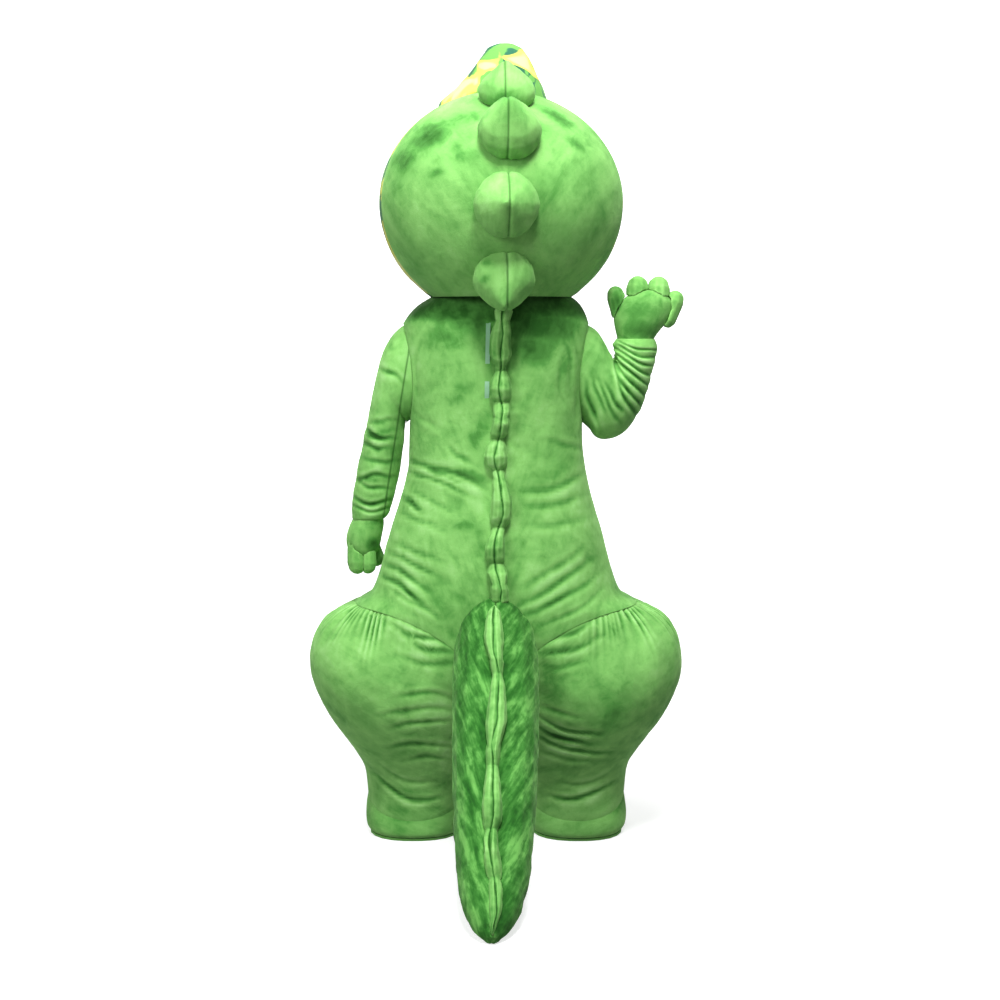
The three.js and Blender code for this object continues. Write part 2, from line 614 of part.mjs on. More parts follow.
function sleeve(sign, table, glove) {
  const places = table.map((s) => span(AROUND, (i) => {
    const a = (i / AROUND) * 2 * Math.PI;
    const mid = vec((s.xo + s.xi) / 2, 0, (s.zo + s.zi) / 2);
    const arm = vec((s.xo - s.xi) / 2, 0, (s.zo - s.zi) / 2);
    const f = 1 + (s.fold / 90) * (1 + 0.6 * Math.sin(a * 2 + s.zo));
    return mid.addScaledVector(arm, Math.cos(a) * f).add(vec(0, s.b * Math.sin(a) * f, 0));
  }));
  // the cuff is drawn in round the wrist of the glove
  const cuff = cuffRing(glove);
  places.push(cuff.map((q) => q.p));
  const loop = armLoop(sign);
  const all = [loop.map((q) => q.p), ...places];
  const rows = all.map((ring, r) => ring.map((p, i) => {
    const round = ring[(i + 1) % AROUND].clone().sub(ring[(i + AROUND - 1) % AROUND]);
    const up = all[Math.max(0, r - 1)][i];
    const down = all[Math.min(all.length - 1, r + 1)][i];
    const n = round.cross(down.clone().sub(up)).normalize();
    const c = ring.reduce((s, q) => s.add(q), vec(0, 0, 0)).divideScalar(AROUND);
    if (p.clone().sub(c).dot(n) < 0) n.negate();
    return dot(p.clone(), n);
  }));
  rows.at(-1).forEach((q, i) => {
    q.n = cuff[i].n;
  });
  // the armhole seam shares its directions with the body
  rows[0].forEach((q, i) => {
    const n = q.n.clone().add(loop[i].n).normalize();
    q.n = n;
    loop[i].n = n;
  });
  return rows;
}
const sleeveLeft = sleeve(1, SLEEVE_LEFT, GLOVE_LEFT);
const sleeveRight = sleeve(-1, SLEEVE_RIGHT, GLOVE_RIGHT);

const MITT = 2.5; // plush of the gloves
function mittRows(rings) {
  const all = rings.map((m) => span(AROUND, (i) => {
    const a = (i / AROUND) * 2 * Math.PI;
    return vec(m.x + m.w * Math.cos(a), m.y + m.b * Math.sin(a), m.z);
  }));
  const tip = rings.at(-1);
  const way = Math.sign(tip.z - rings[0].z);
  const rows = all.map((ring, r) => ring.map((p, i) => {
    const round = ring[(i + 1) % AROUND].clone().sub(ring[(i + AROUND - 1) % AROUND]);
    const down = all[Math.min(all.length - 1, r + 1)][i].clone().sub(all[Math.max(0, r - 1)][i]);
    const n = round.cross(down).normalize();
    const c = vec(rings[r].x, rings[r].y, rings[r].z);
    if (p.clone().sub(c).dot(n) < 0) n.negate();
    return dot(p, n);
  }));
  rows.push([dot(vec(tip.x, tip.y, tip.z + way * 4), vec(0, 0, way))]);
  return rows;
}
// A hollow closed at its far end.
function mittWall(rows, thick) {
  const outer = stuffed(rows.map((r) => r.map((q) => q.p)));
  const inside = rows.map((r) => r.map((q) => moved(q, -thick).p));
  const first = rows[0].map((q) => moved(q, -thick).p);
  const way = Math.sign(rows.at(-1)[0].p.z - rows[0][0].p.z);
  const open = first.map((p) => p.clone().add(vec(0, 0, -way * 6)));
  return outer.subtract(stuffed([open, ...inside]));
}
function capsule(d, around) {
  const a = vec(d.x1, d.y1, d.z1);
  const b = vec(d.x2, d.y2, d.z2);
  const axis = b.clone().sub(a);
  const long = axis.length();
  axis.normalize();
  const side = vec(0, 1, 0).cross(axis).normalize();
  const other = axis.clone().cross(side);
  const steps = [
    { at: -d.r * 0.8, wide: 0.6 },
    { at: -d.r * 0.2, wide: 0.96 },
    { at: long * 0.9, wide: 1.03 },
    { at: long + d.r * 0.55, wide: 0.82 },
    { at: long + d.r * 0.88, wide: 0.45 },
  ];
  const rings = steps.map((s) => span(around, (i) => {
    const t = (i / around) * 2 * Math.PI;
    return a.clone().addScaledVector(axis, s.at)
      .addScaledVector(side, d.r * s.wide * Math.cos(t))
      .addScaledVector(other, d.r * s.wide * Math.sin(t));
  }));
  rings.push([a.clone().addScaledVector(axis, long + d.r)]);
  return stuffed(rings);
}

// Feet: a soft cover from the leg's hem to the sole. Spread is how far a ring stands out.
const FOOT = [
  { t: 0.3, xo: 345, xi: 84, back: 131, front: 176 },
  { t: 0.62, xo: 347, xi: 82, back: 135, front: 214 },
  { t: 0.86, xo: 344, xi: 84, back: 134, front: 228 },
  { t: 1.0, xo: 332, xi: 96, back: 122, front: 218 },
];
function footRows(sign, legSet) {
  const back = legSet.back.at(-1);
  const front = legSet.front.at(-1);
  const hem = [...back, ...front.slice(1, -1).reverse()];
  const n = hem.length;
  const ringAt = (f) => hem.map((q, i) => {
    const half = back.length - 1;
    const onBack = i <= half;
    const t = onBack ? i / half : (n - i) / half;
    const x = mix(f.xi, f.xo, 0.5 + 0.5 * power(Math.cos(Math.PI * t), 0.86));
    const y = Math.sin(Math.PI * clamp(t, 0, 1)) ** 0.84 * (onBack ? f.back : -f.front);
    return vec(x * sign, y, mix(q.p.z, SOLE + CLEAR, f.t));
  });
  const all = [hem.map((q) => q.p), ...FOOT.map(ringAt)];
  return all.map((ring, r) => ring.map((p, i) => {
    const round = ring[(i + 1) % n].clone().sub(ring[(i + n - 1) % n]);
    const down = all[Math.min(all.length - 1, r + 1)][i].clone().sub(all[Math.max(0, r - 1)][i]);
    const nrm = round.cross(down).normalize();
    if (p.clone().sub(vec(sign * 214, -20, p.z)).dot(nrm) < 0) nrm.negate();
    return dot(p.clone(), nrm);
  }));
}
const footLeft = footRows(1, legs.left);
const footRight = footRows(-1, legs.right);
for (const [rows, set] of [[footLeft, legs.left], [footRight, legs.right]]) {
  const hem = [...set.back.at(-1), ...set.front.at(-1).slice(1, -1).reverse()];
  rows[0].forEach((q, i) => {
    const n = q.n.clone().add(hem[i].n).normalize();
    q.n = n;
    hem[i].n = n;
  });
  set.front.at(-1)[0].n = set.back.at(-1)[0].n;
  set.front.at(-1).at(-1).n = set.back.at(-1).at(-1).n;
  // the bottom edge stands on the sole, so it is square to it
  rows.at(-1).forEach((q) => {
    q.n = vec(q.n.x, q.n.y, 0).normalize();
  });
}
function soleOf(rows) {
  const ring = rows.at(-1).map((q) => moved(q, 2).p);
  const at = (z) => ring.map((p) => vec(p.x, p.y, z));
  return stuffed([at(0), at(SOLE)]);
}

// Tail: the line through its middle, leaning rings, half-width, height up and down from the line,
// and how peaked the top of the section is.
const TAIL = [
  { y: 110, z: 556, half: 96, up: 138, down: 96, lean: 66, x: 0, peak: 1.35 },
  { y: 200, z: 532, half: 103, up: 136, down: 100, lean: 60, x: 0, peak: 1.35 },
  { y: 290, z: 470, half: 107, up: 118, down: 100, lean: 54, x: 0, peak: 1.12 },
  { y: 370, z: 396, half: 106, up: 108, down: 98, lean: 47, x: 1, peak: 0.95 },
  { y: 450, z: 316, half: 103, up: 102, down: 94, lean: 45, x: 1, peak: 0.86 },
  { y: 530, z: 238, half: 99, up: 97, down: 90, lean: 47, x: 2, peak: 0.82 },
  { y: 604, z: 170, half: 93, up: 91, down: 84, lean: 52, x: 3, peak: 0.82 },
  { y: 672, z: 118, half: 86, up: 82, down: 78, lean: 62, x: 4, peak: 0.82 },
  { y: 738, z: 80, half: 76, up: 70, down: 70, lean: 74, x: 6, peak: 0.82 },
  { y: 794, z: 56, half: 63, up: 56, down: 54, lean: 84, x: 7, peak: 0.82 },
  { y: 838, z: 38, half: 46, up: 40, down: 37, lean: 90, x: 8, peak: 0.82 },
  { y: 868, z: 27, half: 26, up: 23, down: 24, lean: 90, x: 9, peak: 0.82 },
];
const TAIL_TIP = { x: 10, y: 882, z: 21 };
const TAIL_STEPS = 10; // places round one half
function tailPlace(s, a, sign) {
  // a = 0 on top, 180 degrees underneath
  const lean = rad(s.lean);
  const upward = vec(0, Math.cos(lean), Math.sin(lean));
  const c = Math.cos(a);
  const w = s.half * Math.sin(a) ** (c > 0 ? s.peak : 0.82);
  const h = c > 0 ? s.up * c ** 0.95 : -s.down * (-c) ** 0.8;
  const p = vec(s.x, s.y, s.z).add(vec(sign * w, 0, 0)).addScaledVector(upward, h);
  if (p.z < 0.3 && s.y > 400) p.z = 0.3 + Math.max(0, (Math.abs(w) / s.half - 0.8) * 6);
  return p;
}
function tailHalf(sign) {
  const rings = TAIL.map((s) => {
    const edge = span(TAIL_STEPS, (_, t) => {
      const p = tailPlace(s, Math.PI * clamp(t, 1e-6, 1 - 1e-6), sign);
      if (t === 0 || t === 1) p.x = s.x + sign * SEAM;
      return p;
    });
    const last = edge.at(-1);
    const mid = (k) => vec(s.x + sign * SEAM, mix(edge[0].y, last.y, k), mix(edge[0].z, last.z, k));
    return [...edge, mid(0.66), mid(0.33)];
  });
  const tip = vec(TAIL_TIP.x + sign * 2, TAIL_TIP.y, TAIL_TIP.z);
  return stuffed([...rings, [tip]]);
}

// Ridge: one row for each soft lobe. Along the back from and to are heights, on the tail they are
// shares of the tail's length.
const LOBES_BACK = [
  { from: 1383, to: 1218, tall: 46 },
  { from: 1218, to: 1140, tall: 40 },
  { from: 1140, to: 1048, tall: 44 },
  { from: 1048, to: 970, tall: 40 },
  { from: 970, to: 828, tall: 48 },
  { from: 828, to: 740, tall: 42 },
  { from: 740, to: 634, tall: 46 },
];
const LOBES_TAIL = [
  { from: 0.1, to: 0.23, tall: 40 },
  { from: 0.23, to: 0.41, tall: 44 },
  { from: 0.41, to: 0.57, tall: 40 },
  { from: 0.57, to: 0.74, tall: 34 },
  { from: 0.74, to: 0.94, tall: 24 },
];
const RIDGE = { half: 26, pinch: 0.6, dip: 0.34, groove: 11, sway: 4 };
const ridgeX = curve(
  [{ z: 650, x: -3 }, { z: 1000, x: -8 }, { z: 1200, x: -11 }, { z: 1390, x: -15 }], "z", "x");
// Half of the section, from the foot at the side to the groove.
const RIDGE_SECTION = [
  { w: 0.84, h: -0.25 },
  { w: 1.0, h: 0.42 },
  { w: 0.74, h: 0.92 },
  { w: 0.34, h: 1.0 },
];
function ridge(lobes, base, grow = 0) {
  const rings = [];
  lobes.forEach((lobe, k) => {
    // each lobe swells slowly and ends short, and lies a little to one side of the line
    const stops = k === 0 ? [0, 0.14, 0.45, 0.84] : [0, 0.26, 0.58, 0.86];
    const aside = (k % 2 ? 1 : -1) * RIDGE.sway;
    for (const t of stops) rings.push({ at: mix(lobe.from, lobe.to, t), t, tall: lobe.tall, aside });
    if (k === lobes.length - 1) rings.push({ at: lobe.to, t: 1, tall: lobe.tall, aside });
  });
  return stuffed(rings.map((r, k) => {
    const end = k === 0 || k === rings.length - 1;
    const swell = Math.sin(Math.PI * clamp(r.t, 0, 1) ** 1.2) ** 0.6;
    const wide = RIDGE.half * mix(RIDGE.pinch, 1, swell) * (end ? 0.6 : 1) + grow;
    const tall = r.tall * mix(RIDGE.dip, 1, swell) * (end ? 0.55 : 1) + grow;
    const b = base(r.at);
    const place = (w, h) => b.p.clone()
      .addScaledVector(vec(1, 0, 0), w + (h > 0 ? r.aside * swell : 0))
      .addScaledVector(b.n, h);
    const half = RIDGE_SECTION.map((q) => ({ w: q.w * wide, h: Math.max(q.h * tall, -7) }));
    return [
      ...half.map((q) => place(q.w, q.h)),
      place(0, Math.max(tall - RIDGE.groove, tall * 0.45)),
      ...half.slice().reverse().map((q) => place(-q.w, q.h)),
      place(0, -7),
    ];
  }));
}
const backLine = (z) => {
  const x = ridgeX(z);
  const q = point((u, v) => bodyAt(u, v), Math.asin(clamp((x / bodyHalf(z)), -1, 1)), z);
  const n = vec(0, q.n.y, q.n.z).normalize();
  if (n.y < 0) n.negate();
  return { p: vec(x, bodyBack(z) - 2, z), n };
};
const TAIL_TOP = TAIL.map((s, k) => ({ at: k / TAIL.length, ...s }));
const tailColumn = (name) => curve([...TAIL_TOP, { at: 1, ...TAIL_TIP, up: 0, lean: 90 }], "at", name);
const tailOf = Object.fromEntries(["x", "y", "z", "up", "lean"].map((name) => [name, tailColumn(name)]));
const tailLine = (t) => {
  const lean = rad(tailOf.lean(t));
  const n = vec(0, Math.cos(lean), Math.sin(lean));
  const p = vec(tailOf.x(t), tailOf.y(t), tailOf.z(t)).addScaledVector(n, tailOf.up(t) - 2);
  return { p, n };
};

// Scene
const group = new THREE.Group();
group.name = "dinosaur_mascot_costume";
function place(name, solid, colour, roughness = 0.95) {
  const m = solid.getMesh();
  const geometry = new THREE.BufferGeometry();
  const xyz = new Float32Array(m.numVert * 3);
  for (let i = 0; i < m.numVert; i += 1) {
    for (let k = 0; k < 3; k += 1) {
      const v = m.vertProperties[i * m.numProp + k];
      xyz[i * 3 + k] = k === 2 ? v - HOLD : v;
    }
  }
  geometry.setAttribute("position", new THREE.BufferAttribute(xyz, 3));
  geometry.setIndex(new THREE.BufferAttribute(new Uint32Array(m.triVerts), 1));
  geometry.computeVertexNormals();
  const material = new THREE.MeshStandardMaterial({ color: colour, roughness, metalness: 0 });
  const mesh = new THREE.Mesh(geometry, material);
  mesh.name = name;
  group.add(mesh);
}

const skin = headSkin(CLEAR);
place("head_back_left", wall(trim(goreLeft, { first: false }), FOAM), GREEN);
place("head_back_right", wall(trim(goreRight, { first: false }), FOAM), GREEN);

// Front of the head: the face is plain, with a mouth opening cut in the foam.
const yawed = (x, y, z) => vec(x, y, z).applyAxisAngle(vec(0, 0, 1), rad(HEAD.yaw))
  .add(vec(HEAD.x, HEAD.y, HEAD.z));
function blob(c, r, around, levels, squash = 1) {
  const rings = [];
  for (let k = 1; k < levels; k += 1) {
    const lat = mix(-Math.PI / 2, Math.PI / 2, k / levels);
    rings.push(span(around, (i) => {
      const a = (i / around) * 2 * Math.PI;
      return yawed(
        c.x + r.x * Math.cos(lat) * power(Math.cos(a), squash),
        c.y + r.y * Math.cos(lat) * power(Math.sin(a), squash),
        c.z + r.z * Math.sin(lat),
      );
    }));
  }
  rings.unshift([yawed(c.x, c.y, c.z - r.z)]);
  rings.push([yawed(c.x, c.y, c.z + r.z)]);
  return stuffed(rings);
}
const MOUTH = { x: 0, z: -112, half: 78, high: 26 };
const mouthHole = (grow) => {
  const at = (y) => span(20, (i) => {
    const a = (i / 20) * 2 * Math.PI;
    return yawed((MOUTH.half + grow) * Math.cos(a), y, MOUTH.z + (MOUTH.high + grow) * Math.sin(a));
  });
  return stuffed([at(-420), at(-180)]);
};
const frontWall = wall(trim(goreFront, { first: false }), FOAM);
place("head_front", frontWall.subtract(mouthHole(0)), 0x6cae3e);
// net across the mouth, half way through the foam
const netRows = (rows, d) => rows.map((r) => r.map((q) => moved(q, d).p));
const netOuter = stuffed(fullHead(-4.5));
const netInner = stuffed(fullHead(-6.5));
function fullHead(d) {
  return goreLeft.map((r, k) => {
    if (r.length === 1) return [moved(r[0], d).p];
    const all = [...r, ...goreFront[k].slice(1), ...goreRight[k].slice(1, -1)];
    return netRows([all.map((q) => dot(q.p, q.n))], d)[0];
  });
}
place("vision_mesh", cutBy(netOuter.subtract(netInner).intersect(mouthHole(-CLEAR))), 0x2b3a2b, 0.8);
place("muzzle", cutBy(blob({ x: 0, y: -255, z: -30 }, { x: 150, y: 118, z: 56 }, 16, 8), skin), GREEN);
place("jaw", cutBy(blob({ x: 0, y: -205, z: -182 }, { x: 118, y: 92, z: 36 }, 18, 7), skin), GREEN);
for (const [side, sign] of [["left", 1], ["right", -1]]) {
  const eye = blob({ x: sign * 118, y: -256, z: 96 }, { x: 46, y: 34, z: 56 }, 14, 7);
  place(`eye_${side}`, cutBy(eye, skin), 0xf4f4ee, 0.4);
}
SPIKES.forEach((s, k) => {
  const above = k > 0 ? [stuffedGap(SPIKES[k - 1])] : [];
  place(`head_spike_${k + 1}`, cutBy(spike(s), skin, ...above), GREEN);
});
// neighbouring spikes keep clear of each other
function stuffedGap(s) {
  return spike({ ...s, base: s.base + CLEAR, tall: s.tall + CLEAR });
}
place("head_crest", cutBy(stuffed(crestRings), skin, stuffedGap(SPIKES[0])), 0xc9d94a);

// Body panels
const backLeft = quarter.backLeft;
const backRight = quarter.backRight.map((r) => r.slice().reverse());
const front = joinRows(quarter.frontLeft, quarter.frontRight);
const panel = (rows) => wall(trim(rows, { first: false }), CLOTH);
place("back_left", panel(backLeft), GREEN);
place("back_right", panel(backRight), GREEN);
place("front", panel(front), GREEN);

// Zip tape: a strip of the left back, made from its own points and lifted off it.
const TAPE = { near: 27, far: 38, top: 1361, low: 1020, thick: 1.2 };
const tapeRows = backLeft.filter((r) => r[0].p.z < TAPE.top && r[0].p.z > TAPE.low);
const tapeSheet = tapeRows.map((r) => span(3, (_, t) => {
  const x = mix(TAPE.near, TAPE.far, t) + ridgeX(r[0].p.z);
  const k = Math.max(1, r.findIndex((q) => q.p.x >= x));
  const a = r[k - 1];
  const b = r[k];
  const s = (x - a.p.x) / (b.p.x - a.p.x);
  return dot(a.p.clone().lerp(b.p, s), a.n.clone().lerp(b.n, s).normalize());
}));
place("zip_tape", cutBy(wall(tapeSheet, TAPE.thick, { lift: TAPE.thick + CLEAR }),
  wall(backLeft, 60, { lift: CLEAR })), 0xc6cdc4, 0.8);

// the sleeves keep clear of the panels where they fold back close to them
const nearPanels = [front, backLeft, backRight].map((rows) => {
  return wall(trim(rows, { first: false }), CLOTH + 0.3, { lift: 0.15 });
});
for (const [name, rows] of [["sleeve_left", sleeveLeft], ["sleeve_right", sleeveRight]]) {
  const tube = wall(trim(rows, { sides: false, last: false }), CLOTH, { closed: true });
  place(name, cutBy(tube, ...nearPanels), GREEN);
}

for (const [side, glove] of [["left", GLOVE_LEFT], ["right", GLOVE_RIGHT]]) {
  const rows = mittRows(glove.mitt);
  const cutter = stuffed(rows.map((r) => r.map((q) => moved(q, CLEAR).p)));
  place(`glove_${side}`, mittWall(rows, MITT), GREEN);
  const made = [];
  glove.digits.forEach((d, k) => {
    const solid = cutBy(capsule(d, 10), cutter, ...made);
    place(`digit_${side}_${k + 1}`, solid, GREEN);
    made.push(capsule({ ...d, r: d.r + CLEAR }, 10));
  });
}

const legCutters = [];
for (const [side, set] of Object.entries(legs)) {
  for (const name of ["back", "front"]) {
    place(`leg_${side}_${name}`, panelLeg(set[name]), GREEN);
  }
  legCutters.push(wall(set.back, 40, { lift: CLEAR }));
  const rows = side === "left" ? footLeft : footRight;
  place(`foot_${side}`, wall(trim(rows, { sides: false, last: false }), CLOTH, { closed: true }), GREEN);
  place(`sole_${side}`, soleOf(rows), DARK, 0.9);
}
function panelLeg(rows) {
  return wall(trim(rows), CLOTH);
}

const backCutters = [wall(backLeft, 60, { lift: CLEAR }), wall(backRight, 60, { lift: CLEAR })];
const tails = {};
for (const [side, sign] of [["left", 1], ["right", -1]]) {
  tails[side] = cutBy(tailHalf(sign), ...backCutters, ...legCutters);
  place(`tail_${side}`, tails[side], DARK);
}

const grownTail = stuffed([
  ...TAIL.map((s) => {
    const g = { ...s, half: s.half + CLEAR, up: s.up + CLEAR, down: s.down + CLEAR };
    const left = span(TAIL_STEPS, (_, t) => tailPlace(g, Math.PI * clamp(t, 1e-6, 1 - 1e-6), 1));
    const right = span(TAIL_STEPS, (_, t) => tailPlace(g, Math.PI * clamp(t, 1e-6, 1 - 1e-6), -1));
    return [...left, ...right.slice(1, -1).reverse()];
  }),
  [vec(TAIL_TIP.x, TAIL_TIP.y + CLEAR, TAIL_TIP.z)],
]);
// the tail's ridge ends under the last lobe of the back, which is cut longer to keep it clear
const lastLobe = LOBES_BACK.with(-1, { ...LOBES_BACK.at(-1), to: LOBES_BACK.at(-1).to - CLEAR });
const overTail = ridge(lastLobe, backLine, CLEAR);
const ridgeTail = cutBy(ridge(LOBES_TAIL, tailLine), grownTail, overTail, ...backCutters);
place("ridge_tail", ridgeTail, GREEN);
const ridgeBack = ridge(LOBES_BACK, backLine);
place("ridge_back", cutBy(ridgeBack, ...backCutters, grownTail, skin), GREEN);

export default group;
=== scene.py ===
"""Dinosaur mascot costume in short plush, filled out as it is worn, seen from behind."""

import json
import math

import bmesh
import bpy
import numpy as np
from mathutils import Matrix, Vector, noise
from mathutils.kdtree import KDTree


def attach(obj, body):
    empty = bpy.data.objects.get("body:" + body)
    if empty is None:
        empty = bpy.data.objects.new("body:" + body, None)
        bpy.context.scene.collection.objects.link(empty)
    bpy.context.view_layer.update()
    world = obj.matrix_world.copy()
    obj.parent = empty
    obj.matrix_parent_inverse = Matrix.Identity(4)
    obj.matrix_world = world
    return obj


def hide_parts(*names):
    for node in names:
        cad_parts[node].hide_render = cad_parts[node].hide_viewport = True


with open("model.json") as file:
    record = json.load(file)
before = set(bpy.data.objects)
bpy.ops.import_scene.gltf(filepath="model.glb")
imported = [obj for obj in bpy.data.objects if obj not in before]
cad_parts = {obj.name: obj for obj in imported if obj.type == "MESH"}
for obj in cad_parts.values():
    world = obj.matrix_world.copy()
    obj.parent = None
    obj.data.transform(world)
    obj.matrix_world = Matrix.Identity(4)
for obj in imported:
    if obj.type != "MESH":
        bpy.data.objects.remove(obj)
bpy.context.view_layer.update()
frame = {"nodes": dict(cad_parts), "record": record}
FLOOR = -1.340  # the floor's height in the row frame
MM = 0.001


# materials ---------------------------------------------------------------------------------
def linear(code):
    """An sRGB hex colour as linear red, green, blue and alpha."""
    out = []
    for k in (1, 3, 5):
        v = int(code[k : k + 2], 16) / 255
        out.append(v / 12.92 if v <= 0.04045 else ((v + 0.055) / 1.055) ** 2.4)
    return (*out, 1.0)


def grey(v):
    return (v, v, v, 1.0)


def node(tree, kind, settings=None, inputs=None):
    """Adds one shader node; an input is a value or a (node, output) pair."""
    made = tree.nodes.new(kind)
    for key, value in (settings or {}).items():
        setattr(made, key, value)
    for key, value in (inputs or {}).items():
        if isinstance(value, tuple) and len(value) == 2 and hasattr(value[0], "outputs"):
            tree.links.new(value[0].outputs[value[1]], made.inputs[key])
        else:
            made.inputs[key].default_value = value
    return made


def ramp(tree, source, stops):
    made = node(tree, "ShaderNodeValToRGB", {}, {"Fac": source})
    bar = made.color_ramp
    while len(bar.elements) < len(stops):
        bar.elements.new(0.5)
    for element, (at, colour) in zip(bar.elements, stops):
        element.position = at
        element.color = colour
    return made


def noise_at(tree, vector, scale, detail=2.0, roughness=0.5, distortion=0.0):
    inputs = {
        "Vector": vector,
        "Scale": scale,
        "Detail": detail,
        "Roughness": roughness,
        "Distortion": distortion,
    }
    return (node(tree, "ShaderNodeTexNoise", {}, inputs), "Fac")


def total(tree, start, terms):
    """start plus the sum of (source minus its middle) times its weight."""
    start -= sum(middle * weight for _, middle, weight in terms)
    for source, _, weight in terms:
        added = {0: source, 1: weight, 2: start}
        start = (node(tree, "ShaderNodeMath", {"operation": "MULTIPLY_ADD"}, added), 0)
    return start


def blend(tree, kind, factor, a, b):
    made = node(
        tree,
        "ShaderNodeMix",
        {"data_type": "RGBA", "blend_type": kind},
        {"Factor": factor, "A": a, "B": b},
    )
    return (made, 2)


def object_place(tree):
    return (node(tree, "ShaderNodeTexCoord"), "Object")


def bump(tree, height, distance, strength):
    inputs = {"Height": height, "Distance": distance, "Strength": strength}
    return node(tree, "ShaderNodeBump", {}, inputs)


def point_value(tree, name):
    return (node(tree, "ShaderNodeAttribute", {"attribute_name": name}), "Fac")


def new_material(name):
    material = bpy.data.materials.new(name)
    material.use_nodes = True
    tree = material.node_tree
    tree.nodes.clear()
    return material, tree


def surface(tree, inputs):
    skin = node(tree, "ShaderNodeBsdfPrincipled", {}, inputs)
    node(tree, "ShaderNodeOutputMaterial", {}, {"Surface": (skin, "BSDF")})


def plush(
    name,
    shades,
    patch_mm=150,
    patchy=1.0,
    streaky=1.0,
    stretch=4.0,
    streak_size=6.0,
    crush=0.25,
    seam=None,
    printed=None,
):
    """Short-pile plush that lies in patches with crushed streaks, with a fine pile of about 1 mm. Painted
    shade darkens its creases and dark marks, and a painted highlight pales the crowns of its folds.

    shades run from crushed dark pile to brushed pale pile. seam is a plane (x, y, z, away) in metres
    where two pieces of the cloth are sewn together.
    """
    material, tree = new_material(name)
    place = object_place(tree)
    lay = node(
        tree,
        "ShaderNodeVectorRotate",
        {"rotation_type": "Y_AXIS"},
        {"Vector": place, "Angle": point_value(tree, "lay")},
    )
    combed = (node(tree, "ShaderNodeMapping", {}, {"Vector": (lay, 0), "Scale": (stretch, 1.0, 1.0)}), 0)
    patches = noise_at(tree, place, 1000 / patch_mm, 4.0, 0.6, 0.6)
    streaks = noise_at(tree, combed, streak_size, 4.0, 0.6, 0.25)
    crushed = noise_at(tree, place, 36.0, 4.0, 0.6, 0.8)
    pile = noise_at(tree, place, 640.0, 2.0, 0.6)
    # dark marks: pile that lies the other way, and painted shade, such as the shadow under the head
    marks = point_value(tree, "brushed")
    # painted shade in the creases and painted highlight on the crowns of folds
    folds = point_value(tree, "hollow")
    # a mark shows only where the pile is also rough, so its edge is ragged
    ragged = total(tree, 0.0, [(marks, 0.0, 1.0), (streaks, 0.5, 1.3), (crushed, 0.5, 0.8)])
    mark = node(
        tree,
        "ShaderNodeMapRange",
        {"interpolation_type": "SMOOTHSTEP"},
        {"Value": ragged, "From Min": 0.1, "From Max": 0.95},
    )
    # the pile's tone with the painted shade and painted highlight added in
    tone_and_shade = total(
        tree,
        0.55,
        [
            (patches, 0.5, 0.9 * patchy),
            (streaks, 0.5, 1.3 * streaky),
            (crushed, 0.5, crush),
            ((mark, 0), 0.0, -0.5),
            (folds, 0.0, -0.42),
        ],
    )
    if printed:
        shade = ramp(tree, tone_and_shade, [(0.2, grey(0.55)), (0.55, grey(1.0))])
        colour = blend(tree, "MULTIPLY", 0.5, print_layer(tree, place, printed), (shade, "Color"))
    else:
        stops = [(at, linear(c)) for at, c in zip((0.02, 0.34, 0.62, 0.92), shades)]
        colour = (ramp(tree, tone_and_shade, stops), "Color")
    grain = ramp(tree, pile, [(0.3, grey(0.74)), (0.68, grey(1.0))])
    colour = blend(tree, "MULTIPLY", 0.5, colour, (grain, "Color"))
    height = crushed
    if seam:
        away = node(
            tree, "ShaderNodeVectorMath", {"operation": "DOT_PRODUCT"}, {0: place, 1: tuple(seam[:3])}
        )
        from_seam = node(
            tree, "ShaderNodeMath", {"operation": "SUBTRACT"}, {0: (away, "Value"), 1: seam[3]}
        )
        gap = node(tree, "ShaderNodeMath", {"operation": "ABSOLUTE"}, {0: (from_seam, 0)})
        line = ramp(tree, (gap, 0), [(0.0004, grey(0.75)), (0.0018, grey(0.0))])
        # only on the back, where the seam runs
        split = node(tree, "ShaderNodeSeparateXYZ", {}, {"Vector": place})
        behind = node(tree, "ShaderNodeMath", {"operation": "GREATER_THAN"}, {0: (split, "Y"), 1: 0.0})
        line = blend(tree, "MULTIPLY", 1.0, (line, "Color"), (behind, 0))
        colour = blend(tree, "MIX", line, colour, linear(shades[0]))
        height = total(tree, 0.0, [(crushed, 0.5, 1.0), (line, 0.0, -1.2)])
    soft = bump(tree, height, 0.0024, 0.5)
    fuzzy = node(
        tree,
        "ShaderNodeBump",
        {},
        {"Height": pile, "Distance": 0.0008, "Strength": 0.6, "Normal": (soft, "Normal")},
    )
    surface(
        tree,
        {
            "Base Color": colour,
            "Roughness": 0.9,
            "IOR": 1.5,
            "Specular IOR Level": 0.12,
            "Sheen Weight": 0.22,
            "Sheen Roughness": 0.4,
            "Sheen Tint": linear("#b9eb9a"),
            "Normal": (fuzzy, "Normal"),
        },
    )
    return material


def print_layer(tree, place, colours):
    """Blotches 40 to 80 mm across in a loose layout of its own: ground, dark, yellow and cream."""
    ground, dark, yellow, cream = (linear(c) for c in colours)
    shadowy = noise_at(tree, place, 12.0, 1.5, 0.45, 0.9)
    moved = node(tree, "ShaderNodeVectorMath", {"operation": "ADD"}, {0: place, 1: (0.37, 0.11, 0.73)})
    sunny = noise_at(tree, (moved, 0), 11.0, 1.5, 0.45, 0.9)
    dark_here = ramp(tree, shadowy, [(0.53, grey(0.0)), (0.56, grey(1.0))])
    yellow_here = ramp(tree, sunny, [(0.49, grey(0.0)), (0.52, grey(1.0))])
    cream_here = ramp(tree, sunny, [(0.57, grey(0.0)), (0.64, grey(1.0))])
    colour = blend(tree, "MIX", (dark_here, "Color"), ground, dark)
    colour = blend(tree, "MIX", (yellow_here, "Color"), colour, yellow)
    return blend(tree, "MIX", (cream_here, "Color"), colour, cream)
